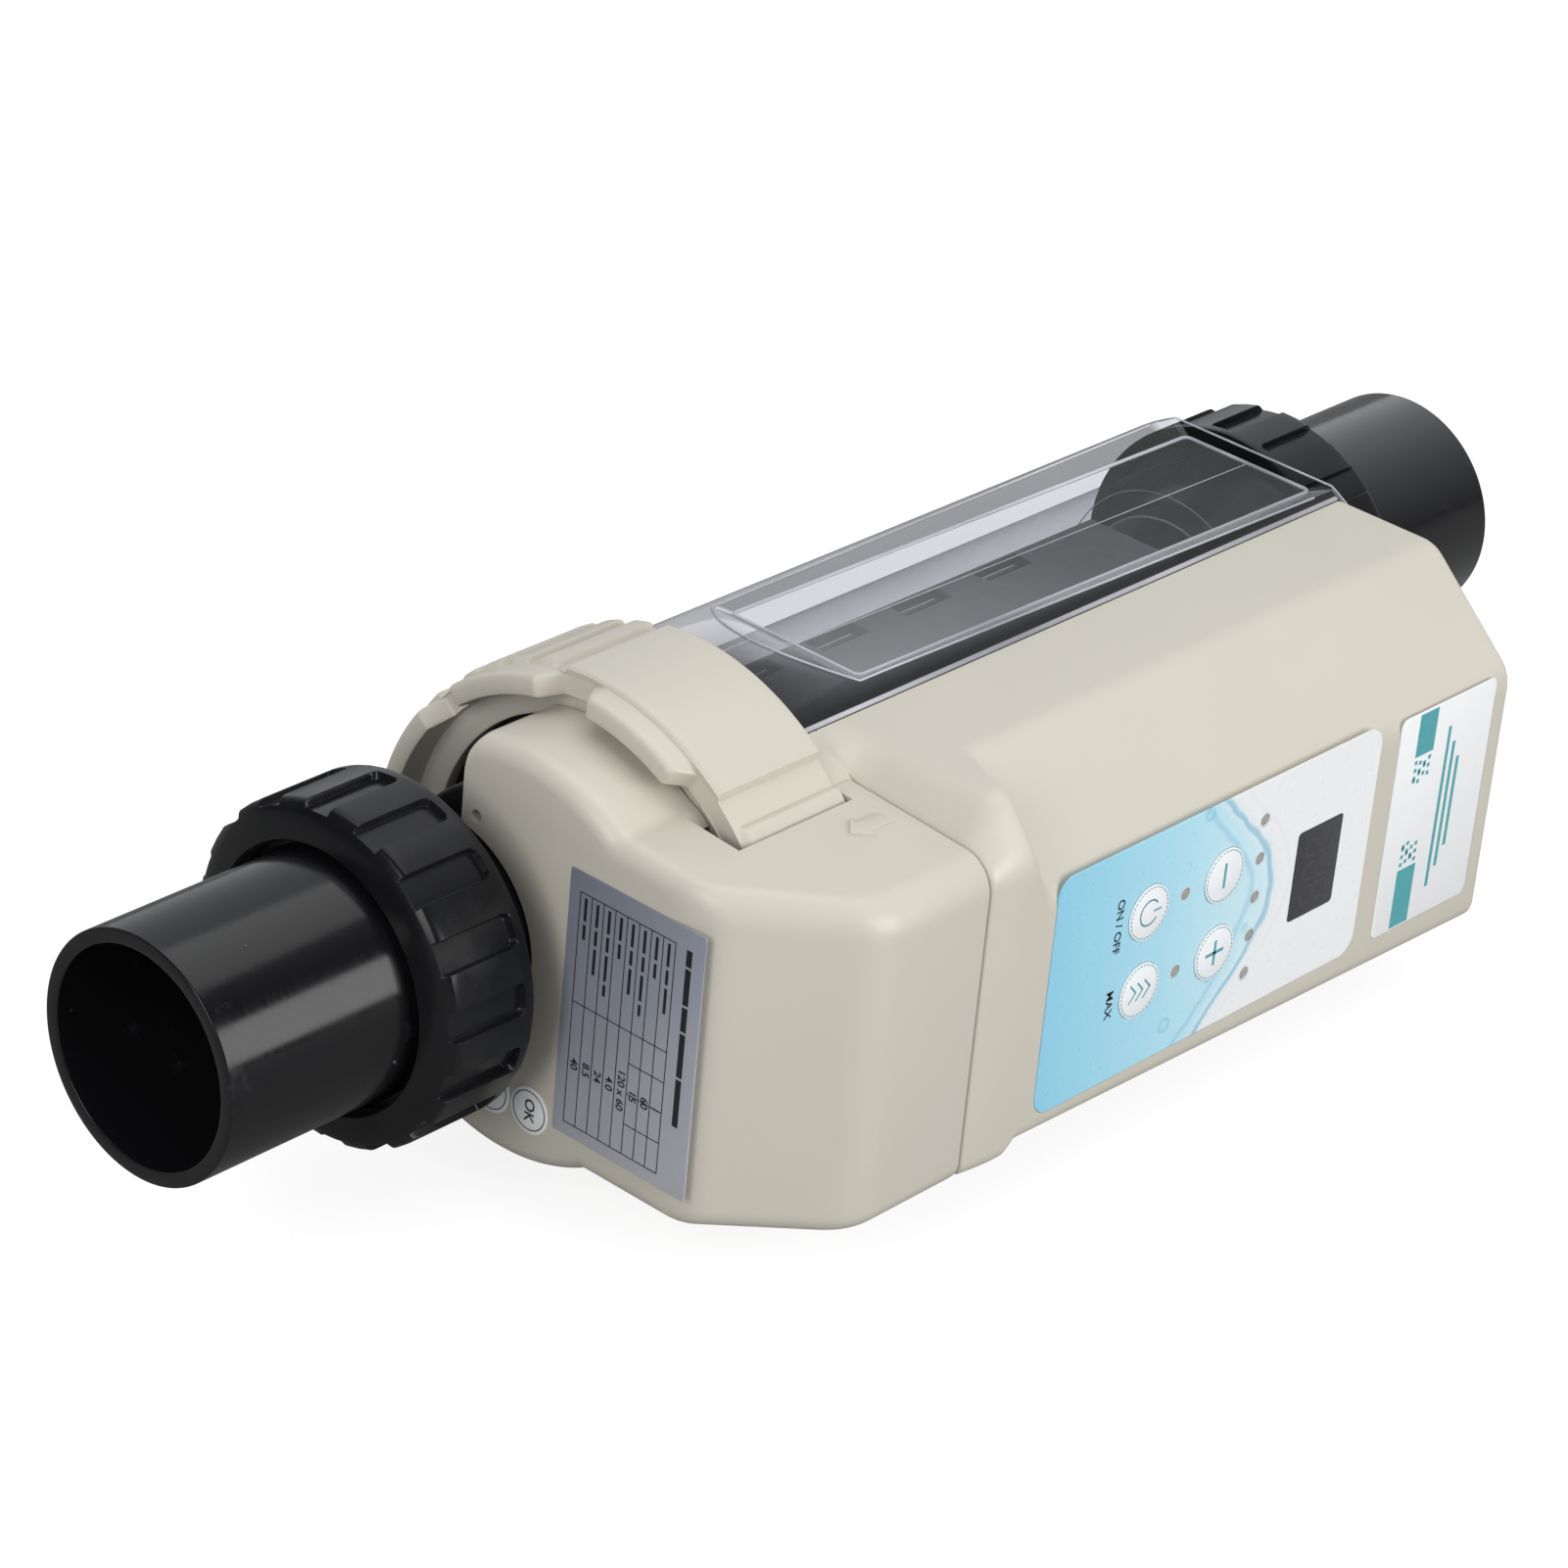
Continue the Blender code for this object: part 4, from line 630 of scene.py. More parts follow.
def reshape(work, centre_y, rule):
    """Moves each point to the (x, radius) that the rule gives for its x, radius and angle from the top."""
    for corner in work.verts:
        y = corner.co.y - centre_y
        radius = math.hypot(y, corner.co.z)
        angle = math.degrees(math.atan2(y, corner.co.z))
        x, radius = rule(corner.co.x, radius, angle)
        turn = math.radians(angle)
        corner.co = (x, centre_y + radius * math.sin(turn), radius * math.cos(turn))
    bmesh.ops.recalc_face_normals(work, faces=work.faces)


def eased(points, steps=3):
    """Outline through (a, b, radius) corners, each rounded with its own radius."""
    outline = []
    for k, (a, b, radius) in enumerate(points):
        here = Vector((a, b))
        if radius == 0.0:
            outline.append((a, b))
            continue
        back = (Vector(points[k - 1][:2]) - here).normalized()
        ahead = (Vector(points[(k + 1) % len(points)][:2]) - here).normalized()
        outline += round_corner(here, back, ahead, radius, steps)
    return outline


def round_corner(corner, back, ahead, radius, steps):
    """Points of the arc that rounds one corner between two unit directions."""
    half = math.acos(max(-1.0, min(1.0, back.dot(ahead)))) / 2
    reach = radius / math.tan(half)
    centre = corner + (back + ahead).normalized() * (radius / math.sin(half))
    start = corner + back * reach - centre
    end = corner + ahead * reach - centre
    turn = math.atan2(start.x * end.y - start.y * end.x, start.dot(end))
    return [tuple(centre + Matrix.Rotation(turn * k / steps, 2) @ start) for k in range(steps + 1)]


def divided(first, last, count):
    """Places between two numbers, both ends left out."""
    return [first + (last - first) * k / (count + 1) for k in range(1, count + 1)]


def arc(centre, radius, first, last, steps):
    """Points (y, z) of an arc; angles in degrees from the top, positive toward +Y."""
    turns = [math.radians(first + (last - first) * k / steps) for k in range(steps + 1)]
    return [(centre[0] + radius * math.sin(a), centre[1] + radius * math.cos(a)) for a in turns]


def lofted(sections):
    """A closed body through outlines of one number of points."""
    work = bmesh.new()
    rings = []
    for section in sections:
        corners = [work.verts.new(p) for p in section]
        rings.append([work.edges.new((corners[k - 1], corners[k])) for k in range(len(corners))])
    for here, there in zip(rings, rings[1:]):
        bmesh.ops.bridge_loops(work, edges=here + there)
    for ring in (rings[0], rings[-1]):
        bmesh.ops.contextual_create(work, geom=ring)
    bmesh.ops.recalc_face_normals(work, faces=work.faces)
    return work


def plate(outline, place, depth):
    """A flat sheet: place turns (a, b, height) into a point, and the outline is extruded by depth."""
    work = bmesh.new()
    corners = [work.verts.new(place(a, b, 0.0)) for a, b in outline]
    face = work.faces.new(corners)
    lift = Vector(place(0.0, 0.0, depth)) - Vector(place(0.0, 0.0, 0.0))
    out = bmesh.ops.extrude_face_region(work, geom=[face], use_keep_orig=True)
    moved = [g for g in out["geom"] if isinstance(g, bmesh.types.BMVert)]
    bmesh.ops.translate(work, verts=moved, vec=lift)
    bmesh.ops.recalc_face_normals(work, faces=work.faces)
    return work


def on_side(y):
    """Places (x, z, height) on the panel's side, with height measured outward from y."""
    return lambda x, z, height: (x, y - height, z)


def on_face(x):
    """Places (y, z, height) on the head cover's face, with height measured outward from x."""
    return lambda y, z, height: (x - height, y, z)


def rectangle(a, b, corner=0.0, steps=6):
    """Outline of a rectangle from two (low, high) pairs, with rounded corners."""
    corners = [(a[0], b[0]), (a[1], b[0]), (a[1], b[1]), (a[0], b[1])]
    return eased([(p[0], p[1], corner) for p in corners], steps)


def disc(centre, radius, steps=64):
    """Outline of a circle."""
    turns = [2 * math.pi * (k + 0.31) / steps for k in range(steps)]
    return [(centre[0] + radius * math.cos(a), centre[1] + radius * math.sin(a)) for a in turns]


def rod(centre, radius, x_from, x_to, steps=64):
    """A solid rod along X."""
    outline = disc(centre, radius, steps)
    return lofted([[(x, y, z) for y, z in outline] for x in (x_from, x_to)])


def crisp(work, width, limit=35.0, segments=2):
    """Rounds the edges that turn more sharply than limit."""
    turn = math.radians(limit)
    sharp = [e for e in work.edges if len(e.link_faces) == 2 and e.calc_face_angle(0.0) > turn]
    bmesh.ops.bevel(
        work,
        geom=sharp,
        offset=width,
        offset_type="OFFSET",
        affect="EDGES",
        segments=segments,
        profile=0.5,
        material=-1,
        clamp_overlap=True,
    )
    return work


def gathered(works):
    """One mesh from several that don't touch."""
    whole = bmesh.new()
    for work in works:
        mesh = bpy.data.meshes.new("part")
        work.to_mesh(mesh)
        work.free()
        whole.from_mesh(mesh)
        bpy.data.meshes.remove(mesh)
    return whole


def as_object(work, name="cutter"):
    mesh = bpy.data.meshes.new(name)
    work.to_mesh(mesh)
    work.free()
    obj = bpy.data.objects.new(name, mesh)
    bpy.context.scene.collection.objects.link(obj)
    return obj


def carve(work, operation, *tools):
    """Cuts or joins a mesh with others and returns the result."""
    obj = as_object(work)
    for tool in tools:
        other = as_object(tool)
        modifier = obj.modifiers.new("carve", "BOOLEAN")
        modifier.operation = operation
        modifier.solver = "EXACT"
        modifier.object = other
        bpy.context.view_layer.update()
        graph = bpy.context.evaluated_depsgraph_get()
        mesh = bpy.data.meshes.new_from_object(obj.evaluated_get(graph))
        obj.modifiers.clear()
        obj.data = mesh
        bpy.data.objects.remove(other)
    result = bmesh.new()
    result.from_mesh(obj.data)
    bpy.data.objects.remove(obj)
    return result


def piece(name, work, material, body, stands_for=(), sharp=32.0):
    """Finishes a mesh as a piece of the object, in metres, riding on its body."""
    bmesh.ops.scale(work, verts=work.verts, vec=(MM, MM, MM))
    obj = as_object(work, name)
    obj.data.materials.append(material)
    obj.data.polygons.foreach_set("use_smooth", [True] * len(obj.data.polygons))
    obj.data.set_sharp_from_angle(angle=math.radians(sharp))
    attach(obj, body)
    if stands_for:
        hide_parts(*stands_for)
    return obj


def smooth_step(value, low, high):
    t = max(0.0, min(1.0, (value - low) / (high - low)))
    return t * t * (3 - 2 * t)


# Tail pipes and union nuts


def mirror_far(work):
    """Turns a head end piece into its twin at the far end."""
    bmesh.ops.scale(work, verts=work.verts, vec=(-1.0, 1.0, 1.0))
    bmesh.ops.translate(work, verts=work.verts, vec=(TOTAL_LENGTH, 0.0, 0.0))
    bmesh.ops.recalc_face_normals(work, faces=work.faces)
    return work


def tail_pipe():
    """Plain tail pipe with a flange that the nut holds, and a stop inside its socket."""
    flange_back = NUT_FACE_BACK + 0.3
    flange_face = UNION_FACE_X - 0.3
    return turned(
        eased(
            [
                (0.0, PIPE_BORE + 0.2, 0.35),
                (PIPE_STOP_X, PIPE_BORE, 0.2),
                (PIPE_STOP_X, PIPE_STOP_RADIUS, 0.5),
                (flange_face, PIPE_STOP_RADIUS, 0.4),
                (flange_face, FLANGE_RADIUS, 0.4),
                (flange_back, FLANGE_RADIUS, 0.4),
                (flange_back, PIPE_RADIUS, 0.8),
                (0.0, PIPE_RADIUS, 0.45),
            ]
        )
    )


def nut_outline():
    rear = NUT_HIGH.x
    front = [(NUT_LOW.x, NUT_THROAT + 0.6), (NUT_LOW.x + 0.25, 34.8), (NUT_LOW.x + 0.75, 37.0)]
    front += [(54.5, 38.9), (54.95, 39.9), (55.2, 40.3), (55.5, 40.75), (55.8, 41.2)]
    front += [(56.15, 41.6), (56.6, 41.9), (57.2, 42.05)]
    body = [(x, NUT_RADIUS) for x in (58.0, 60.0, 63.0, 66.0, 69.0, 71.5, 73.5, 74.6)]
    body += [(74.9 + 0.26 * k, NUT_RADIUS) for k in range(14)]
    rim = [(79.2, NUT_RADIUS), (rear - 0.3, NUT_RADIUS - 0.12), (rear, NUT_RADIUS - 0.5)]
    inside = [(rear, NUT_THREAD + 0.5), (rear - 0.5, NUT_THREAD), (NUT_FACE_BACK, NUT_THREAD)]
    throat = [
        (NUT_FACE_BACK, NUT_THROAT + 0.4),
        (NUT_FACE_BACK - 0.4, NUT_THROAT),
        (NUT_LOW.x + 0.6, NUT_THROAT),
    ]
    return front + body + rim + inside + throat


def pocket_depth(x, angle):
    """1 on a grip pocket's floor, 0 on the ribs round it; pockets are open toward the front."""
    pitch = 360.0 / POCKETS
    offset = (angle - POCKET_START + pitch / 2) % pitch - pitch / 2
    aside = abs(math.radians(offset)) * NUT_RADIUS
    half = math.radians(POCKET_HALF) * NUT_RADIUS
    reach_a = aside - (half - POCKET_CORNER)
    reach_x = x - (POCKET_END_X - POCKET_CORNER)
    if reach_a > 0 and reach_x > 0:
        outside = math.hypot(reach_a, reach_x) - POCKET_CORNER
    else:
        outside = max(reach_a, reach_x) - POCKET_CORNER
    return 1.0 - smooth_step(outside, -0.48, -0.02)


def gather_columns(work):
    """Moves the columns of the turned nut toward the flanks of its pockets, so that these stay crisp."""
    pitch = 360.0 / POCKETS
    flank = [POCKET_HALF + 0.12 * k for k in range(-7, 4)]
    plain = [POCKET_HALF * k / 8.6 for k in range(1, 8)]
    half = [0.0] + [a for a in plain if a < flank[0] - 0.1] + flank
    half = half[:18]
    half += divided(half[-1], pitch / 2, 19 - len(half) - 1) + [pitch / 2]
    places = [-a for a in reversed(half[1:])] + half
    for corner in work.verts:
        angle = math.degrees(math.atan2(corner.co.y, corner.co.z))
        turns = math.floor((angle + pitch / 2) / pitch)
        column = round((angle - turns * pitch) * 36 / pitch)
        moved = math.radians(turns * pitch + places[column + 18] + POCKET_START)
        radius = math.hypot(corner.co.y, corner.co.z)
        corner.co.y = radius * math.sin(moved)
        corner.co.z = radius * math.cos(moved)


def union_nut():
    """Grip nut: sixteen shallow pockets with round ends, between ribs that start at a soft shoulder."""
    work = turned(nut_outline(), steps=POCKET_COLUMNS * POCKETS)
    gather_columns(work)

    def rule(x, radius, angle):
        if radius <= NUT_FLOOR or x > POCKET_END_X + 0.5:
            return x, radius
        share = pocket_depth(x, angle)
        return x, radius + (NUT_FLOOR - radius) * share

    reshape(work, 0.0, rule)
    return work


def add_unions(pipe_black, nut_black):
    ends = (
        ("head_end", "electrode_head", "head_end_nut", False),
        ("far_end", "cell_and_housing", "far_end_nut", True),
    )
    for end, pipe_body, nut_body, far in ends:
        pipe = mirror_far(tail_pipe()) if far else tail_pipe()
        nut = mirror_far(union_nut()) if far else union_nut()
        piece(end + "_pipe", pipe, pipe_black, pipe_body, [end + "_tail_pipe"])
        piece(end + "_nut", nut, nut_black, nut_body, [end + "_union_nut"])


# Lock ring


def ring_outline():
    """Loop of the ring's section where a pad and a lug meet."""
    near, far = RING_NEAR_X, RING_FAR_X
    band = [(far, RING_INNER + 0.3), (far, RING_RADIUS - 0.9), (far - 0.25, RING_RADIUS - 0.35)]
    band += [(far - 0.8, RING_RADIUS - 0.05), (far - 1.4, RING_RADIUS)]
    band += [(x, RING_RADIUS) for x in (146.0, 141.0, 136.0, 131.0, 127.0, 124.0, 122.0)]
    band += [(x, RING_RADIUS) for x in (121.0, 120.3, 119.7, 119.2, 118.7)]
    band += [
        (near + 1.1, RING_RADIUS - 0.1),
        (near + 0.6, RING_RADIUS - 0.35),
        (near + 0.15, RING_RADIUS - 0.9),
    ]
    lug = [(near, LUG_OUTER + 0.1), (near - 0.4, LUG_OUTER), (near - 2.5, LUG_OUTER - 0.05)]
    lug += [(LUG_FRONT_X + 1.6, LUG_OUTER - 0.15), (LUG_FRONT_X + 0.7, LUG_OUTER - 0.45)]
    lug += [(LUG_FRONT_X + 0.2, LUG_OUTER - 1.0), (LUG_FRONT_X, LUG_OUTER - 1.8)]
    lug += [
        (LUG_FRONT_X, LUG_INNER + 1.0),
        (LUG_FRONT_X + 0.3, LUG_INNER + 0.3),
        (LUG_FRONT_X + 1.0, LUG_INNER),
    ]
    web = [
        (WEB_X - 2.4, LUG_INNER - 0.1),
        (WEB_X - 1.0, LUG_INNER - 0.5),
        (WEB_X - 0.3, LUG_INNER - 1.4),
        (WEB_X, LUG_INNER - 2.6),
        (WEB_X, RING_LIP + 0.8),
        (WEB_X + 0.3, RING_LIP + 0.2),
        (WEB_X + 0.9, RING_LIP),
    ]
    back = [(WEB_BACK_X, RING_LIP), (WEB_BACK_X, RING_INNER), (far - 0.5, RING_INNER)]
    return band + lug + web + back


def band_height(x, angle):
    """Radius of the grip band at an angle: smooth pads, with ribs between them."""
    place = (angle - PAD_END) % 90.0
    pad_start = 90.0 - PAD_SPAN
    pad = smooth_step(place, pad_start - 0.5, pad_start + 0.4) * (1.0 - smooth_step(place, 89.6, 90.5))
    pad = max(pad, 1.0 - smooth_step(place, -0.4, 0.5))
    rib = 0.0
    for k in range(RIBS):
        away = abs(place - RIB_START - RIB_PITCH * k)
        rib = max(rib, 1.0 - smooth_step(away, RIB_SPAN / 2 - 0.45, RIB_SPAN / 2 + 0.45))
    domed = rib * smooth_step(x, RING_REST_X - 0.4, RING_REST_X + 2.8)
    return max(
        RING_VALLEY + (RING_RADIUS - RING_VALLEY) * pad,
        RING_VALLEY + (RIB_TOP - RING_VALLEY) * domed,
    )


def lug_share(angle):
    """1 on a lug, 0 between lugs, with a ramp at each end."""
    share = 0.0
    for first, last in LUG_SPANS:
        inside = min((angle - first) % 360.0, (last - angle) % 360.0)
        if (angle - first) % 360.0 <= last - first:
            share = max(share, smooth_step(inside, 0.0, LUG_RAMP))
    return share


def lock_ring():
    """Screw ring with smooth pads, grip ribs and finger lugs on its front."""
    work = turned(ring_outline(), CELL_Y, 720)

    def rule(x, radius, angle):
        height = band_height(x, angle)
        if x < RING_REST_X:
            if x > RING_NEAR_X + 0.05:
                return x, min(radius, height)
            share = lug_share(angle)
            low = min(radius, RING_VALLEY - 0.4) if share < 1.0 else radius
            return (
                RING_REST_X - 0.1 + (x - RING_REST_X + 0.1) * share,
                radius + (low - radius) * (1 - share),
            )
        if radius > RING_INNER + 0.6 and x > RING_REST_X:
            return x, radius - (RING_RADIUS - height)
        return x, radius

    reshape(work, CELL_Y, rule)
    return work


# Clear cell and electrode head


def union_stub(neck_end):
    """The union's threaded end, drawn as a plain cylinder without thread or groove, and the neck behind it.
    """
    return turned(
        eased(
            [
                (UNION_FACE_X, 3.0, 0.0),
                (UNION_FACE_X, UNION_RADIUS, 0.6),
                (UNION_END_X, UNION_RADIUS, 0.6),
                (UNION_END_X, NECK_RADIUS, 1.2),
                (neck_end, NECK_RADIUS, 0.0),
                (neck_end, 3.0, 0.0),
            ]
        ),
        steps=96,
    )


def window_floor(x):
    """Height of the window's flat floor, which falls a little toward the far end."""
    return WINDOW_Z - WINDOW_FALL * (x - WINDOW_X[0]) / (WINDOW_X[1] - WINDOW_X[0])


def window_tray():
    """Cutter for the shallow tray with sloping borders; its far border runs out over the end."""
    sections = []
    far_reach = {0.0: 0.0, 0.12: 0.1, 0.5: 0.4, 2.8: 1.9, 12.0: 24.0}
    for rise, far in far_reach.items():
        grow = rise / WINDOW_RISE
        x = (WINDOW_X[0] - grow, WINDOW_X[1] + far)
        y = (CELL_Y - WINDOW_HALF - grow, CELL_Y + WINDOW_HALF + grow)
        outline = rectangle(x, y, 1.8 + min(grow, 5.0) * 0.2, 8)
        sections.append([(a, b, window_floor(a) + rise) for a, b in outline])
    return lofted(sections)


def clear_cell():
    """Vessel with a screw thread at its mouth, a flat window and the far union's port."""
    mouth = CELL_LOW.x
    end = CELL_END_X
    thread = [(mouth + 0.8 + k * 0.6, THREAD_RADIUS - 0.45) for k in range(33)]
    work = turned(
        [(mouth, CELL_BORE + 0.4), (mouth, THREAD_RADIUS - 1.0)]
        + thread
        + [(THREAD_END_X + 1.6, CELL_RADIUS + 0.4), (THREAD_END_X + 2.2, CELL_RADIUS)]
        + [(end - 2.4, CELL_RADIUS), (end - 1.1, CELL_RADIUS - 0.35), (end - 0.3, CELL_RADIUS - 1.1)]
        + [(end, CELL_RADIUS - 2.4), (end, PORT_BORE - 6.0), (end - END_WALL, PORT_BORE - 6.0)]
        + [(end - END_WALL, CELL_BORE - 2.2), (end - END_WALL - 0.8, CELL_BORE - 0.7)]
        + [(end - END_WALL - 2.4, CELL_BORE), (mouth + 0.4, CELL_BORE)],
        CELL_Y,
        CELL_STEPS,
    )

    def rule(x, radius, angle):
        if radius < THREAD_RADIUS - 0.6 or x > THREAD_END_X + 1.2:
            return x, radius
        phase = (x / THREAD_PITCH - angle / 360.0) % 1.0
        return x, radius + 0.42 * smooth_step(0.25 - abs(phase - 0.5), -0.1, 0.1)

    reshape(work, CELL_Y, rule)
    stub = mirror_far(union_stub(TOTAL_LENGTH - end + 1.0))
    work = carve(work, "UNION", stub)
    port = rod((0.0, 0.0), PORT_BORE, end - END_WALL - 4.0, TOTAL_LENGTH)
    return carve(work, "DIFFERENCE", port, window_tray())


def bead(path, radius, closed=True):
    """A thin round bead along a path of points."""
    work = bmesh.new()
    rings = []
    count = len(path)
    for k, point in enumerate(path):
        here = Vector(point)
        before = Vector(path[k - 1] if closed or k else path[k])
        after = Vector(path[(k + 1) % count] if closed or k < count - 1 else path[k])
        run = (after - before).normalized()
        side = run.cross(Vector((0.0, 0.0, 1.0))).normalized()
        up = side.cross(run)
        corners = []
        for j in range(8):
            turn = 2 * math.pi * j / 8
            place = here + side * radius * math.cos(turn) + up * radius * math.sin(turn)
            corners.append(work.verts.new(place))
        rings.append([work.edges.new((corners[j - 1], corners[j])) for j in range(8)])
    pairs = list(zip(rings, rings[1:]))
    if closed:
        pairs.append((rings[-1], rings[0]))
    for one, other in pairs:
        bmesh.ops.bridge_loops(work, edges=one + other)
    if not closed:
        for ring in (rings[0], rings[-1]):
            bmesh.ops.contextual_create(work, geom=ring)
    bmesh.ops.recalc_face_normals(work, faces=work.faces)
    return work


def bead_ring(path, radius):
    """A thin round bead along a ring that stands across the X axis."""
    x = path[0][0]
    size = math.hypot(path[0][1], path[0][2])
    angles = [math.pi * k / 4 for k in range(8)]
    loop = [(x + radius * math.cos(a), size + radius * math.sin(a)) for a in angles]
    return turned(loop, steps=len(path))


def rim_half(x):
    """Distance from the window's middle at which its side slope meets the round wall."""
    low, high = WINDOW_HALF, CELL_RADIUS - 1.0
    for _ in range(30):
        middle = (low + high) / 2
        slope = window_floor(x) + (middle - WINDOW_HALF) * WINDOW_RISE
        if slope < math.sqrt(CELL_RADIUS**2 - middle * middle):
            low = middle
        else:
            high = middle
    return low


def wall_point(x, y):
    return (x, CELL_Y + y, math.sqrt(CELL_RADIUS**2 - y * y))


def window_rim():
    """Border where the tray's slopes run out into the round wall, open over the far end."""
    half = rim_half(WINDOW_X[0])
    near = []
    for k in range(25):
        y = half - 2 * half * k / 24
        reach = (math.sqrt(CELL_RADIUS**2 - y * y) - WINDOW_Z) / WINDOW_RISE
        near.append(wall_point(WINDOW_X[0] - reach, y))
    sides = divided(near[-1][0], CELL_END_X - 1.0, 20)
    path = [wall_point(x, rim_half(x)) for x in reversed(sides)]
    path += near + [wall_point(x, -rim_half(x)) for x in sides]
    return bead(path, 0.30, closed=False)


def end_rim():
    """Edge of the vessel's far end: straight where the window runs out, round beside it."""
    top = window_floor(WINDOW_X[1]) + 2.9
    radius = CELL_RADIUS - 0.5
    turn = math.degrees(math.acos(top / radius))
    left = arc((CELL_Y, 0.0), radius, -turn - 34.0, -turn, 16)
    right = arc((CELL_Y, 0.0), radius, turn, turn + 6.0, 4)
    return bead([(CELL_END_X - 0.4, y, z) for y, z in left + right], 0.28, closed=False)


def port_rings():
    """Edges of the far port, which show through the vessel as pale rings of painted highlight."""
    rings = []
    for radius, width in ((PORT_BORE, 0.3), (31.0, 0.2)):
        x = CELL_END_X - END_WALL - 0.1
        turns = [2 * math.pi * k / 72 for k in range(72)]
        path = [(x, radius * math.sin(a), radius * math.cos(a)) for a in turns]
        rings.append(bead_ring(path, width))
    return gathered(rings)


def parting_line():
    """Fine line left by the mould along the top of the vessel."""
    reach = (CELL_RADIUS - WINDOW_Z) / WINDOW_RISE
    points = [(RING_FAR_X + 1.0, CELL_Y, CELL_RADIUS), (WINDOW_X[0] - reach, CELL_Y, CELL_RADIUS)]
    points += [(x, CELL_Y, window_floor(x)) for x in (WINDOW_X[0], *divided(*WINDOW_X, 8), WINDOW_X[1])]
    return bead(points, 0.13, closed=False)


def window_floor_edge():
    outline = rectangle(WINDOW_X, (CELL_Y - WINDOW_HALF, CELL_Y + WINDOW_HALF), 1.8, 8)
    return bead([(x, y, window_floor(x) + 0.05) for x, y in outline], 0.5)


def housing_side_edge():
    """Lip of the clear moulding along the housing."""
    z = HOUSING_TOP_Z + 0.15
    y = CELL_Y - math.sqrt(CELL_RADIUS**2 - z * z) + 0.25
    return bead([(x, y, z) for x in (RING_FAR_X + 1.0, 220.0, 290.0, CELL_END_X - 3.0)], 0.7, closed=False)


def electrode_head():
    """Black end moulding: boss, sealing flange, plug and the head end union."""
    seat = CELL_LOW.x - 0.3
    body = turned(
        eased(
            [
                (97.0, 3.0, 0.0),
                (97.0, 40.4, 1.2),
                (WEB_BACK_X + 0.3, 40.4, 1.0),
                (WEB_BACK_X + 0.3, 58.4, 0.6),
                (seat, 58.4, 0.4),
                (seat, CELL_BORE - 0.3, 0.3),
                (seat + 7.0, CELL_BORE - 0.3, 1.0),
                (seat + 7.0, 3.0, 0.0),
            ]
        ),
        CELL_Y,
        CELL_STEPS,
    )
    core = rod((CELL_Y, 0.0), 6.0, 98.0, seat + 6.0, 24)
    outline = rectangle((-80.0, -30.0), (-24.0, 24.0), 2.0)
    pocket = lofted([[(x, y, z) for y, z in outline] for x in (95.0, 110.0)])
    body = carve(body, "UNION", core, union_stub(WEB_BACK_X + 1.3))
    return carve(body, "DIFFERENCE", rod((0.0, 0.0), PORT_BORE, UNION_FACE_X - 1.0, seat + 8.0), pocket)


# Head cover


def cover_side_y(x):
    """Outer side of the cover at x: the front face turns into a 45 degree chamfer, then the side."""
    face_x = COVER_LOW.x - 0.01
    turn_x = COVER_LOW.x + COVER_FACE_Y - COVER_SIDE_Y
    corners = [
        Vector((face_x, 0.0)),
        Vector((face_x, COVER_FACE_Y)),
        Vector((turn_x, COVER_SIDE_Y)),
        Vector((200.0, COVER_SIDE_Y)),
    ]
    path = []
    for k in (1, 2):
        back = (corners[k - 1] - corners[k]).normalized()
        ahead = (corners[k + 1] - corners[k]).normalized()
        path += round_corner(corners[k], back, ahead, 14.0, 20)
    if x <= path[0][0]:
        return path[0][1]
    for (x0, y0), (x1, y1) in zip(path, path[1:]):
        if x <= x1:
            return y0 + (y1 - y0) * (x - x0) / max(x1 - x0, 1e-9)
    return COVER_SIDE_Y


def cover_outline(x, inset, edge_y):
    """Section (y, z) of the cover at x, pulled in by inset; the arch stops at edge_y by the port."""
    arch = ARCH_RADIUS - inset
    top = COVER_TOP_Z - inset
    side = cover_side_y(x) + inset
    bottom = COVER_BOTTOM_Z + inset
    blend_y = CELL_Y - math.sqrt((arch + COVER_BLEND) ** 2 - (top + COVER_BLEND) ** 2)
    tangent = math.degrees(math.atan2(blend_y - CELL_Y, top + COVER_BLEND))
    edge = math.degrees(math.asin((edge_y - 3.0 - CELL_Y) / arch))
    drop = COVER_TOP_DROP * (blend_y - side) / (blend_y - COVER_SIDE_Y)
    head = math.sqrt(arch**2 - (edge_y - CELL_Y) ** 2)
    shoulder = Vector((side, top - drop))
    ahead = Vector((0.0, -1.0))
    back = (Vector((blend_y, top)) - shoulder).normalized()
    outline = [(edge_y, head - 3.5), (edge_y - 0.25, head - 2.1), (edge_y - 0.9, head - 1.2)]
    outline += arc((CELL_Y, 0.0), arch, edge, tangent, 28)
    outline += arc((blend_y, top + COVER_BLEND), COVER_BLEND, tangent + 180.0, 180.0, 8)[1:]
    outline += round_corner(shoulder, back, ahead, max(COVER_CORNER - inset, 1.0), 10)
    foot = Vector((side, bottom))
    low_corner = max(COVER_LOW_CORNER - inset, 1.0)
    outline += round_corner(foot, Vector((0.0, 1.0)), Vector((1.0, 0.0)), low_corner, 8)
    meet = math.degrees(math.acos(bottom / arch))
    last = 180.0 - math.degrees(math.asin((edge_y - CELL_Y) / arch))
    return outline + arc((CELL_Y, 0.0), arch, -meet, last - 360.0, 24)


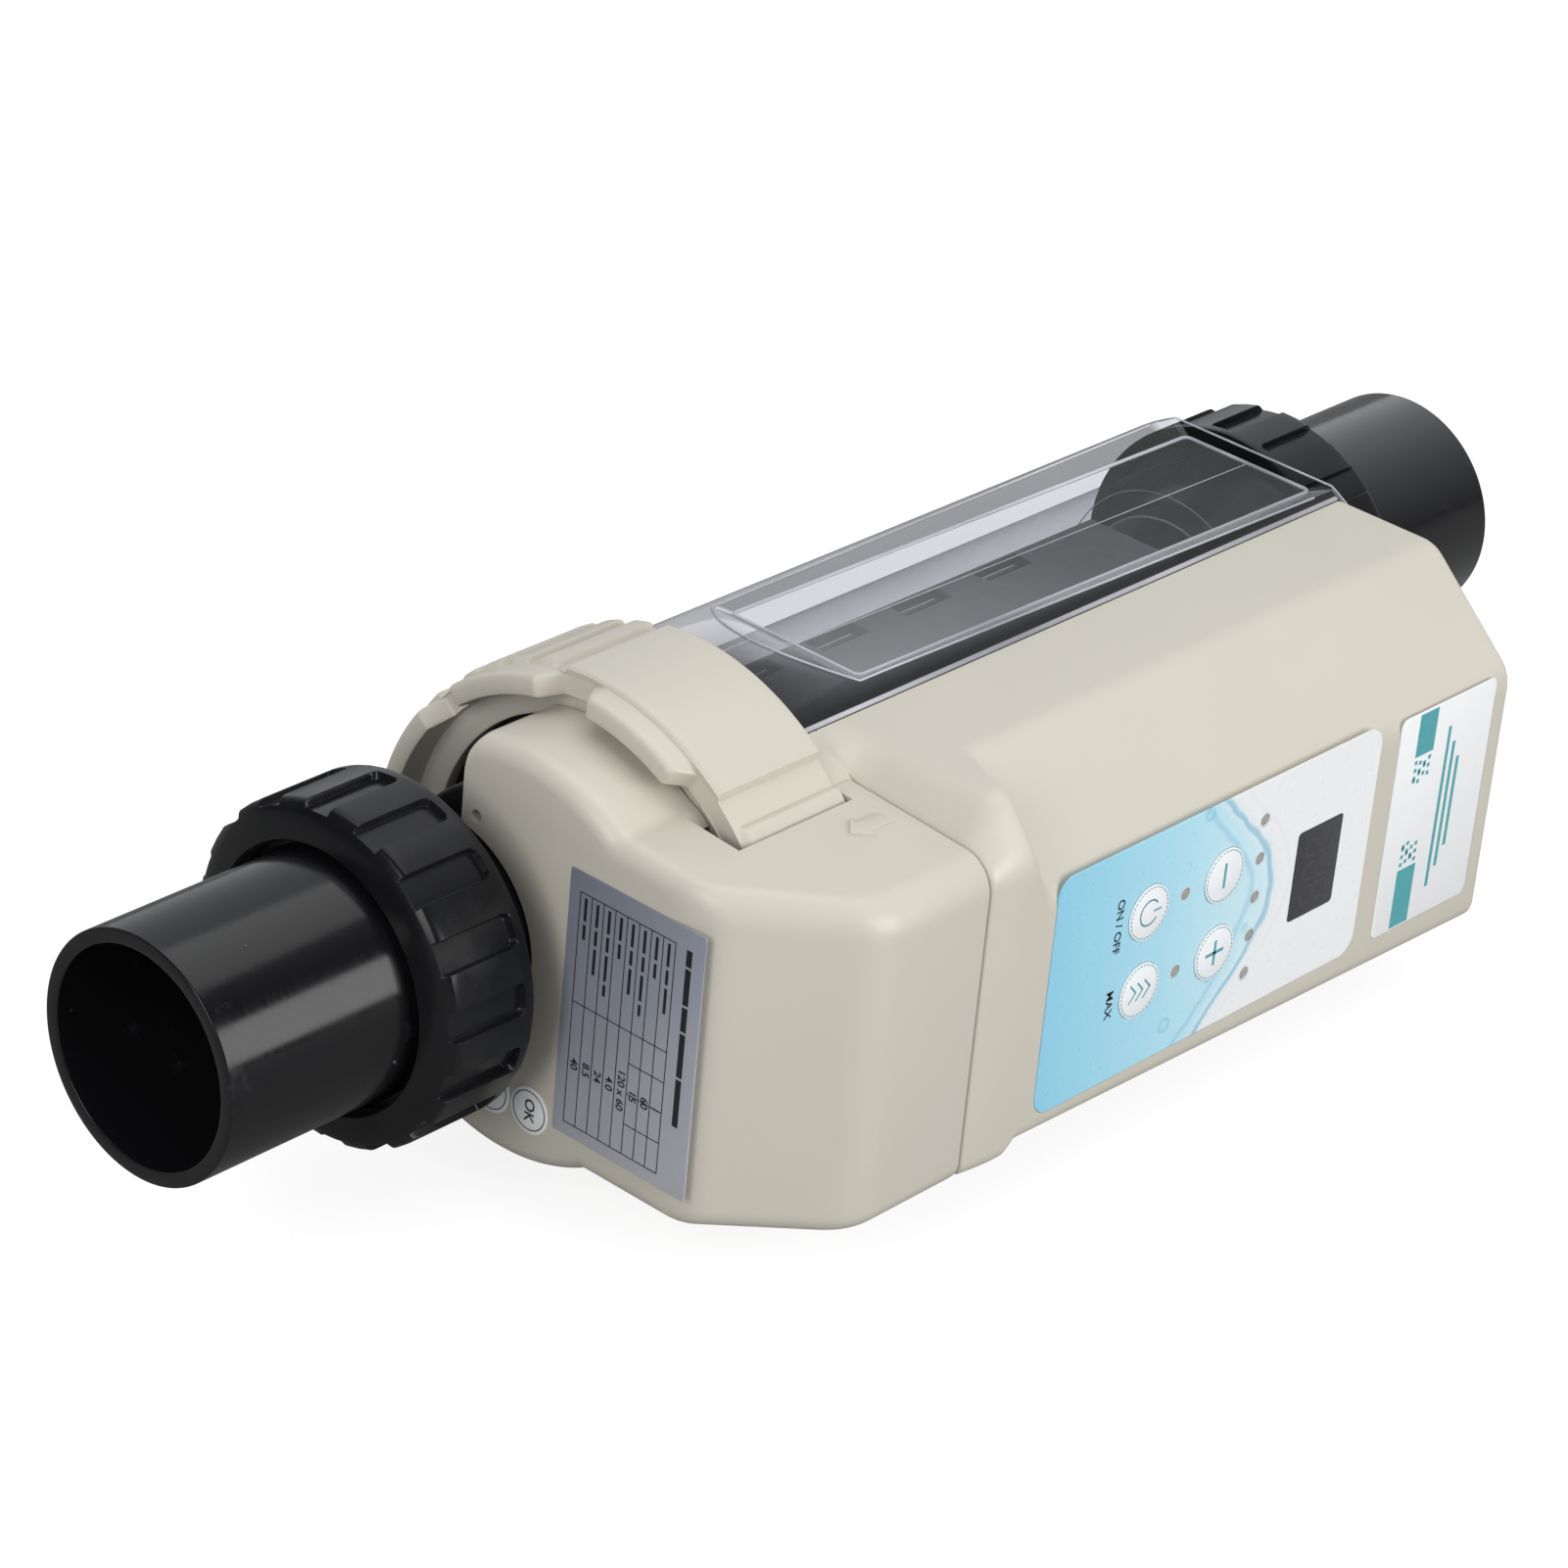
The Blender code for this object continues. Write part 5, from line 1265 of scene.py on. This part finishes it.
def cover_solid(inset, start, stop):
    """The cover's outer shape, or its cavity when inset is its wall."""
    outer = inset == 0.0
    edge_y = COVER_EDGE_Y if outer else COVER_EDGE_Y + 4.0
    places = []
    for k in range(9 if outer else 2):
        turn = math.pi / 2 * k / (8 if outer else 1)
        back = COVER_FRONT_FILLET * (1 - math.sin(turn)) if outer else 0.0
        places.append((start + COVER_FRONT_FILLET * (1 - math.cos(turn)), back))
    spot = places[-1][0] + 1.2
    while spot < COVER_LOW.x + 39.0:
        places.append((spot, 0.0))
        spot += 1.5 if outer else 3.0
    places += [(stop - 0.8, 0.0), (stop - 0.25, 0.15), (stop, 0.5)] if outer else [(stop, 0.0)]
    sections = []
    for x, back in places:
        outline = cover_outline(max(x - inset, COVER_LOW.x), inset + back, edge_y)
        sections.append([(x, y, z) for y, z in outline])
    return lofted(sections)


def ring_room():
    """Room that the lock ring turns in."""
    behind = RING_FAR_X + 0.6
    loop = [(SLOT_FRONT_X, SLOT_INNER), (SLOT_FRONT_X, SLOT_RADIUS), (behind, SLOT_RADIUS)]
    loop += [(behind, THREAD_RADIUS + 0.4), (SEAM_X + 5.0, THREAD_RADIUS + 0.4), (SEAM_X + 5.0, 1.0)]
    loop += [(WEB_X - 0.6, 1.0), (WEB_X - 0.6, SLOT_INNER)]
    return turned(loop, CELL_Y, 192)


def head_cover():
    """Shell over the terminals: half an arch beside the port, blended into a box with the ring's slot."""
    body = cover_solid(0.0, COVER_LOW.x, SEAM_X)
    cavity = cover_solid(COVER_WALL, COVER_LOW.x + COVER_WALL, SEAM_X + 5.0)
    core = rod((CELL_Y, 0.0), 3.0, WEB_X - 0.6, SEAM_X + 4.0, 16)
    port = rod((0.0, 0.0), NECK_RADIUS + 0.8, COVER_LOW.x - 1.0, SEAM_X, 96)
    hole = rod(COVER_HOLE, 1.6, COVER_LOW.x - 1.0, COVER_LOW.x + COVER_WALL + 1.0, 24)
    return carve(body, "DIFFERENCE", cavity, ring_room(), core, port, hole)


def turn_arrow():
    """Raised arrow on the cover's top that shows which way the head comes off."""
    tip, neck, tail = 139.6, 144.0, 151.5
    middle, head, shaft = -78.5, 4.0, 2.1
    outline = [(tip, middle), (neck, middle - head), (neck, middle - shaft), (tail, middle - shaft)]
    outline += [(tail, middle + shaft), (neck, middle + shaft), (neck, middle + head)]

    def place(x, y, height):
        slope = COVER_TOP_DROP / (-56.0 - COVER_SIDE_Y)
        return (x, y, COVER_TOP_Z + slope * (y + 56.0) - 0.3 + height)

    return crisp(plate(outline, place, 0.75), 0.18)


# Electronics housing


def housing_values(x):
    """Top blend, chamfer blend and bottom height of the housing at x."""
    rise = max(0.0, min(1.0, (x - HOUSING_START_X) / 12.5))
    top = math.sin(rise * math.pi / 2)
    facet = smooth_step(x, HOUSING_START_X + 12.5, HOUSING_START_X + 21.5)
    main = -41.5 - 4.8 * (x - 174.5) / (HOUSING_END_X - 174.5)
    bottom = -44.6 + (main + 44.6) * smooth_step(x, 172.0, 177.0)
    return top, facet, bottom


def housing_outline(x, inset, rim):
    """Section (y, z) of the housing at x, pulled in by inset; its inner side follows the cell."""
    top, facet, bottom = housing_values(x)
    plane = HOUSING_TOP_Z - inset
    low = COVER_TOP_Z - 1.0 + (HOUSING_TOP_Z - COVER_TOP_Z + 1.0) * top - inset
    shelf = COVER_TOP_Z - COVER_TOP_DROP + (HOUSING_TOP_Z - COVER_TOP_Z + COVER_TOP_DROP) * top
    side = HOUSING_SIDE_Y + inset + 1.2 * (1 - top)
    crease_y = -97.0 + 17.5 * facet + inset * 0.4
    crease_z = min(36.0 - 12.5 * facet - inset * 0.4, shelf - 4.0)
    crease_top = min(shelf + (low + inset - shelf) * facet, HOUSING_TOP_Z) - inset
    bottom = bottom + inset
    contact = CELL_Y - math.sqrt(rim**2 - plane**2)
    corners = [
        (contact, plane, 0.0),
        (-64.0 - inset * 2, low, 5.0 - inset),
        (crease_y, crease_top, 5.0 - inset),
        (side, crease_z, 6.0 - inset),
        (side, bottom, 6.0 - inset * 0.5),
        (CELL_Y - math.sqrt(rim**2 - bottom**2), bottom, 0.0),
    ]
    outline = []
    for k, (y, z, radius) in enumerate(corners):
        if radius == 0.0:
            outline.append((y, z))
            continue
        here = Vector((y, z))
        back = (Vector(corners[k - 1][:2]) - here).normalized()
        ahead = (Vector(corners[(k + 1) % len(corners)][:2]) - here).normalized()
        outline += soft_corner(here, back, ahead, radius * 0.8)
    first = math.degrees(math.atan2(corners[-1][0] - CELL_Y, corners[-1][1]))
    last = math.degrees(math.atan2(contact - CELL_Y, plane))
    return outline + arc((CELL_Y, 0.0), rim, first, last, 40)[1:-1]


def soft_corner(corner, back, ahead, reach):
    """Points of a rounded corner that keeps its reach when the corner is nearly straight."""
    points = []
    for k in range(11):
        t = k / 10
        a = corner + back * reach * (1 - t)
        b = corner + ahead * reach * t
        points.append(tuple(a * (1 - t) + b * t))
    return points


def housing_solid(inset):
    """Outer shape of the housing, or its cavity when inset is its wall."""
    places = [(HOUSING_START_X + 24.0 * k / 40, 0.0) for k in range(3, 41)]
    lip = ((0.0, 1.0), (0.15, 0.55), (0.5, 0.2), (1.1, 0.0)) if inset == 0.0 else ((0.0, 0.0),)
    places = [(HOUSING_START_X + step, back) for step, back in lip] + places
    places.append((HOUSING_END_X - HOUSING_END_FILLET, 0.0))
    if inset == 0.0:
        for k in range(1, 7):
            turn = math.pi / 2 * k / 6
            back = HOUSING_END_FILLET * (1 - math.cos(turn))
            places.append((HOUSING_END_X - HOUSING_END_FILLET * (1 - math.sin(turn)), back))
    else:
        places.insert(0, (SEAM_X - 2.0, 0.0))
    rim = LINER_RADIUS if inset == 0.0 else LINER_RADIUS - 2.0
    sections = []
    for x, back in places:
        outline = housing_outline(max(x, HOUSING_START_X), inset + back, rim)
        sections.append([(x, y, z) for y, z in outline])
    return lofted(sections)


def ring_side_tongue():
    """Part of the housing that fills the corner between the ring, the vessel and the cover."""
    outline = housing_outline(HOUSING_START_X, 0.0, LINER_RADIUS)
    shoulder = [p for p in outline[:11] if p[0] > -61.0]
    guard = THREAD_RADIUS + 0.1
    first = math.degrees(math.atan2(-61.5 - CELL_Y, 42.9))
    loop = [(shoulder[0][0], shoulder[0][1]), (-55.4, 45.95), (-61.4, 43.2)]
    loop += arc((CELL_Y, 0.0), guard, first, first - 12.0, 8)
    start = math.degrees(math.atan2(loop[0][0] - CELL_Y, loop[0][1]))
    loop += arc((CELL_Y, 0.0), LINER_RADIUS, first - 12.0, start, 20)[:-1]
    return lofted([[(x, y, z) for y, z in loop] for x in (RING_FAR_X + 0.8, HOUSING_START_X + 0.6)])


def electronics_housing():
    """Front shell: flat top, long facet, collar at the seam, and beds for the printed films."""
    beds = []
    for low, high, corner in ((OVERLAY_LOW, OVERLAY_HIGH, 5.6), (SERIES_LOW, SERIES_HIGH, 2.5)):
        outline = rectangle((low.x - 0.15, high.x + 0.15), (low.z - 0.15, high.z + 0.15), corner)
        beds.append(plate(outline, on_side(HOUSING_SIDE_Y + 0.5), 4.0))
    inlet = lofted([[(a, b, z) for a, b in disc((330.0, -88.0), 8.0, 32)] for z in (-49.0, -38.0)])
    body = carve(housing_solid(0.0), "DIFFERENCE", housing_solid(HOUSING_WALL), *beds, inlet)
    return carve(body, "UNION", ring_side_tongue())


# Control panel and labels


def stroke(points, width, place, height=0.03):
    """A printed line of that width through flat points."""
    works = []
    for (a0, b0), (a1, b1) in zip(points, points[1:]):
        run = Vector((a1 - a0, b1 - b0))
        along_run = run.normalized() * width * 0.2
        side = Vector((-run.y, run.x)).normalized() * width / 2
        start = Vector((a0, b0)) - along_run
        end = Vector((a1, b1)) + along_run
        outline = [tuple(start + side), tuple(start - side), tuple(end - side), tuple(end + side)]
        works.append(plate(outline, place, height))
    return works


def loop_points(centre, radius, first, last, steps):
    """Points (a, b) round centre, from first to last degrees."""
    turns = [math.radians(first + (last - first) * k / steps) for k in range(steps + 1)]
    return [(centre[0] + radius * math.cos(a), centre[1] + radius * math.sin(a)) for a in turns]


def lettering(words, size, right, up, place):
    """Printed characters as a flat mesh, with their middle at place."""
    curve = bpy.data.curves.new("print", "FONT")
    curve.body = words
    curve.size = size
    curve.extrude = 0.015
    curve.offset = 0.06
    curve.align_x = "CENTER"
    curve.align_y = "CENTER"
    obj = bpy.data.objects.new("print", curve)
    bpy.context.scene.collection.objects.link(obj)
    bpy.context.view_layer.update()
    mesh = bpy.data.meshes.new_from_object(obj.evaluated_get(bpy.context.evaluated_depsgraph_get()))
    bpy.data.objects.remove(obj)
    out = Vector(right).cross(Vector(up))
    turn = Matrix((Vector(right), Vector(up), out)).transposed().to_4x4()
    mesh.transform(Matrix.Translation(Vector(place)) @ turn)
    work = bmesh.new()
    work.from_mesh(mesh)
    bpy.data.meshes.remove(mesh)
    return work


PANEL_RIGHT, PANEL_UP = (0.0, 0.0, -1.0), (1.0, 0.0, 0.0)
FACE_RIGHT, FACE_UP = (0.0, 0.0, -1.0), (0.0, -1.0, 0.0)


def button_symbols(front):
    """Teal marks of the four keys, by key."""
    side = on_side(front)
    marks = {}
    x, z = BUTTONS["standby_button"]
    marks["standby_button"] = stroke(loop_points((x, z), 3.3, 35.0, 325.0, 30), 0.45, side)
    marks["standby_button"] += stroke([(x + 1.6, z), (x + 4.3, z)], 0.5, side)
    x, z = BUTTONS["boost_button"]
    chevrons = []
    for shift in (-2.4, 0.2, 2.8):
        left, tip = x + shift - 1.2, x + shift + 1.0
        chevrons += stroke([(left, z + 2.4), (tip, z), (left, z - 2.4)], 0.5, side)
    marks["boost_button"] = chevrons
    x, z = BUTTONS["minus_button"]
    marks["minus_button"] = stroke([(x, z + 3.2), (x, z - 3.2)], 0.9, side)
    x, z = BUTTONS["plus_button"]
    marks["plus_button"] = stroke([(x, z + 3.2), (x, z - 3.2)], 0.9, side)
    marks["plus_button"] += stroke([(x - 3.2, z), (x + 3.2, z)], 0.9, side)
    return marks


def add_buttons(white, teal):
    """Soft white keys with a dashed border and a printed mark."""
    front = span("standby_button")[0].y
    marks = button_symbols(front)
    for name, centre in BUTTONS.items():
        low, high = span(name)
        key = plate(disc(centre, BUTTON_RADIUS, 72), on_side(high.y), high.y - low.y)
        piece(name + "_key", crisp(key, 0.15), white, name, [name])
        dashes = []
        for k in range(36):
            dashes += stroke(loop_points(centre, 6.6, k * 10.0, k * 10.0 + 5.6, 2), 0.28, on_side(front))
        piece(name + "_border", gathered(dashes), teal, name)
        piece(name + "_mark", gathered(marks[name]), teal, name)


def add_overlay(film, ink):
    """Printed film, level with the housing, and its two small captions."""
    outline = rectangle((OVERLAY_LOW.x, OVERLAY_HIGH.x), (OVERLAY_LOW.z, OVERLAY_HIGH.z), 5.5, 10)
    sheet = plate(outline, on_side(OVERLAY_HIGH.y), OVERLAY_HIGH.y - OVERLAY_LOW.y)
    behind = on_side(OVERLAY_HIGH.y + 1)
    holes = [plate(disc(c, BUTTON_RADIUS + 0.12, 72), behind, 3.0) for c in BUTTONS.values()]
    for lamp in LAMPS:
        low, high = span(lamp)
        middle = (low + high) / 2
        holes.append(plate(disc((middle.x, middle.z), 1.55, 24), on_side(OVERLAY_HIGH.y + 1), 3.0))
    across = (DISPLAY_LOW.x - 0.1, DISPLAY_HIGH.x + 0.1)
    window = rectangle(across, (DISPLAY_LOW.z - 0.1, DISPLAY_HIGH.z + 0.1), 1.2)
    holes.append(plate(window, on_side(OVERLAY_HIGH.y + 1), 3.0))
    sheet = carve(sheet, "DIFFERENCE", gathered(holes))
    piece("panel_film", sheet, film, "cell_and_housing", ["control_overlay"])
    y = OVERLAY_LOW.y - 0.02
    captions = [
        lettering("ON / OFF", 3.5, PANEL_RIGHT, PANEL_UP, (205.4, y, 6.0)),
        lettering("MAX", 3.5, PANEL_RIGHT, PANEL_UP, (205.4, y, -15.0)),
    ]
    piece("panel_captions", gathered(captions), ink, "cell_and_housing")


def add_display(dark, ghost):
    """Dark window with the faint bars of its unlit digits."""
    outline = rectangle((DISPLAY_LOW.x, DISPLAY_HIGH.x), (DISPLAY_LOW.z, DISPLAY_HIGH.z), 1.1, 6)
    glass = crisp(plate(outline, on_side(DISPLAY_HIGH.y), DISPLAY_HIGH.y - DISPLAY_LOW.y), 0.08)
    piece("display_glass", glass, dark, "cell_and_housing", ["display_window"])
    bars = []
    side = on_side(DISPLAY_LOW.y - 0.01)
    x0, x1 = DISPLAY_LOW.x + 4.0, DISPLAY_HIGH.x - 4.0
    middle = (x0 + x1) / 2
    for k in range(3):
        top = DISPLAY_HIGH.z - 3.4 - k * 6.6
        low = top - 4.4
        for x in (x0, middle, x1):
            bars += stroke([(x, top - 0.7), (x, low + 0.7)], 0.75, side, 0.015)
        for z in (top, low):
            bars += stroke([(x0 + 0.7, z), (middle - 0.7, z)], 0.75, side, 0.015)
            bars += stroke([(middle + 0.7, z), (x1 - 0.7, z)], 0.75, side, 0.015)
    piece("display_segments", gathered(bars), ghost, "cell_and_housing")


def add_lamps(lens, rim):
    """Small grey lenses of the indicator lights, each in a printed ring."""
    rings = []
    for name in LAMPS:
        low, high = span(name)
        middle = (low + high) / 2
        circle = loop_points((middle.x, middle.z), 1.75, 0.0, 360.0, 24)
        rings += stroke(circle, 0.3, on_side(OVERLAY_LOW.y - 0.01))
        body = plate(disc((middle.x, middle.z), 1.45, 32), on_side(high.y), high.y - low.y)
        piece(name + "_lens", crisp(body, 0.25), lens, "cell_and_housing", [name])
    piece("lamp_rings", gathered(rings), rim, "cell_and_housing")


def add_series_label(paper, teal):
    """White label with two teal fields that break up into squares, and a plain band between them."""
    low, high = SERIES_LOW, SERIES_HIGH
    sheet = plate(rectangle((low.x, high.x), (low.z, high.z), 2.4, 8), on_side(high.y), high.y - low.y)
    piece("series_film", crisp(sheet, 0.06), paper, "cell_and_housing", ["series_label"])
    side = on_side(low.y - 0.01)
    left = low.x + 7.5
    fields = [
        rectangle((left, left + 7.4), (high.z - 12.5, high.z - 0.6)),
        rectangle((left, left + 7.4), (low.z + 0.6, low.z + 17.0)),
    ]
    squares = []
    for k in range(14):
        column = (k * 5) % 4
        row = k // 4 + (k % 3) * 0.3
        x = left + 0.3 + column * 1.8
        squares.append(rectangle((x, x + 1.1), (high.z - 14.6 - row * 1.7, high.z - 13.5 - row * 1.7)))
        squares.append(rectangle((x, x + 1.1), (low.z + 18.0 + row * 1.7, low.z + 19.1 + row * 1.7)))
    bars = [
        rectangle(
            (left + 13.0 + k * 2.6, left + 14.2 + k * 2.6),
            (low.z + 8.0 + k * 5.0, high.z - 8.0 - k * 5.0),
        )
        for k in range(3)
    ]
    shapes = [plate(outline, side, 0.03) for outline in fields + squares + bars]
    piece("series_print", gathered(shapes), teal, "cell_and_housing")


def add_rating_label(film, ink):
    """Silver label with a ruled table of plain figures."""
    low, high = RATING_LOW, RATING_HIGH
    sheet = plate(rectangle((low.y, high.y), (low.z, high.z), 0.6), on_face(high.x), high.x - low.x)
    piece("rating_film", crisp(sheet, 0.05), film, "electrode_head", ["rating_label"])
    face = on_face(low.x - 0.01)
    marks = []
    left, right = high.y - 3.4, low.y + 8.8
    top, bottom = high.z - 5.0, low.z + 3.4
    rows = [left + (right - left) * k / 8 for k in range(9)]
    column = top + (bottom - top) * 0.47
    for y in rows:
        marks += stroke([(y, top), (y, bottom)], 0.26, face)
    marks += stroke([(left, top), (right, top)], 0.26, face)
    marks += stroke([(left, bottom), (right, bottom)], 0.26, face)
    marks += stroke([(left, column), (right, column)], 0.26, face)
    figures = ("40", "8.5", "24", "4.0", "120 x 60", "15", "60", "1")
    for k, figure in enumerate(figures):
        y = (rows[k] + rows[k + 1]) / 2
        marks.append(lettering(figure, 3.0, FACE_RIGHT, FACE_UP, (low.x - 0.02, y, (column + bottom) / 2)))
        marks += word_bars(y, top - 1.2, (5.5, 3.4, 6.2, 2.6)[: 2 + k % 3], 0.85, face)
    for k in range(1, 4):
        z = column + (bottom - column) * k / 4
        marks += stroke([(rows[5], z), (rows[8], z)], 0.26, face)
    marks += word_bars(low.y + 4.6, top - 0.5, (3.5, 8.5, 5.5, 10.5, 11.5), 1.7, face)
    piece("rating_print", gathered(marks), ink, "electrode_head")


def word_bars(y, start_z, lengths, height, face):
    """Plain bars that stand where words would, read downward."""
    works = []
    z = start_z
    for length in lengths:
        works += stroke([(y, z), (y, z - length)], height, face)
        z -= length + 1.3
    return works


def add_stickers(paper, ink):
    """Two round stickers, each with a round border."""
    for name, mark in (("approval_sticker", "1"), ("inspection_sticker", "OK")):
        low, high = span(name)
        middle = (low + high) / 2
        radius = (high.z - low.z) / 2
        sheet = plate(disc((middle.y, middle.z), radius), on_face(high.x), high.x - low.x)
        piece(name + "_film", crisp(sheet, 0.05), paper, "electrode_head", [name])
        face = on_face(low.x - 0.01)
        border = stroke(loop_points((middle.y, middle.z), radius - 1.0, 0.0, 360.0, 48), 0.28, face)
        border.append(lettering(mark, 4.2, FACE_RIGHT, FACE_UP, (low.x - 0.02, middle.y, middle.z)))
        piece(name + "_print", gathered(border), ink, "electrode_head")


# Assembly


def finish_node(node, material):
    """Gives a CAD node its finish."""
    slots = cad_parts[node].data.materials
    slots.clear()
    slots.append(material)


def finish_kept_nodes():
    """Finishes the CAD nodes that show as they are."""
    satin = printed("holder_grey", (0.135, 0.132, 0.142), 0.42, 0.2)
    titanium = metal("titanium", (0.42, 0.41, 0.39), 0.32)
    coating = metal("coated_titanium", (0.16, 0.155, 0.15), 0.5)
    rubber = printed("seal_rubber", (0.018, 0.018, 0.019), 0.62)
    gloss = moulded_black("liner_gloss_black", 0.16, 0.4)
    connector = printed("connector_grey", (0.06, 0.06, 0.065), 0.5)
    board = solder_mask()
    groups = {
        satin: ("upper_electrode_holder", "lower_electrode_holder"),
        titanium: ("anode_terminal", "cathode_terminal", "flow_temperature_probe"),
        coating: tuple("electrode_plate_%d" % (k + 1) for k in range(7)),
        rubber: ("head_seal", "head_end_union_seal", "far_end_union_seal"),
        gloss: ("housing_liner", "power_inlet"),
        connector: ("wiring_plug", "wiring_socket", "display_module", "power_supply_module")
        + ("standby_switch", "boost_switch", "minus_switch", "plus_switch"),
        board: ("circuit_board",),
    }
    for material, nodes in groups.items():
        for node in nodes:
            finish_node(node, material)


def build():
    add_camera()
    add_world()
    add_lights()
    add_floor()
    beige = moulded_beige()
    ink = printed("print_black", (0.012, 0.012, 0.014), 0.45)
    teal = printed("print_teal", (0.075, 0.36, 0.39), 0.4)
    white = printed("key_white", (0.84, 0.86, 0.87), 0.38, 0.02)
    paper = printed("label_white", (0.83, 0.84, 0.85), 0.34, 0.01)
    dark = printed("display_grey", (0.040, 0.040, 0.046), 0.24)
    ghost = printed("display_segment_grey", (0.050, 0.050, 0.057), 0.24)
    lens = printed("lamp_grey", (0.36, 0.345, 0.33), 0.22)
    add_unions(turned_black(), moulded_black("nut_satin_black", 0.22))
    piece("lock_ring_grip", lock_ring(), beige, "lock_ring", ["lock_ring"])
    piece("clear_vessel", clear_cell(), smoked_clear(), "cell_and_housing", ["clear_cell"])
    # Pale beads along the vessel's rims, parting line, window floor, housing lip and port edges: painted
    # highlights where the clear moulding catches light.
    edges = [window_rim(), end_rim(), parting_line(), window_floor_edge(), housing_side_edge(), port_rings()]
    edges = gathered(edges)
    piece("clear_vessel_edge_highlights", edges, clear_edge_highlight(), "cell_and_housing", sharp=80.0)
    head_black = moulded_black("head_satin_black", 0.4)
    piece("head_moulding", electrode_head(), head_black, "electrode_head", ["electrode_head"])
    piece("head_cover_shell", head_cover(), beige, "electrode_head", ["head_cover"])
    piece("head_cover_arrow", turn_arrow(), beige, "electrode_head")
    housing = electronics_housing()
    hidden = ["electronics_housing"]
    piece("housing_shell", housing, beige, "cell_and_housing", hidden, 50.0)
    add_overlay(panel_film(), ink)
    add_buttons(white, teal)
    add_display(dark, ghost)
    add_lamps(lens, paper)
    add_series_label(paper, teal)
    add_rating_label(silver_film(), ink)
    add_stickers(paper, ink)
    finish_kept_nodes()


bpy.context.scene.view_settings.view_transform = "Standard"
build()
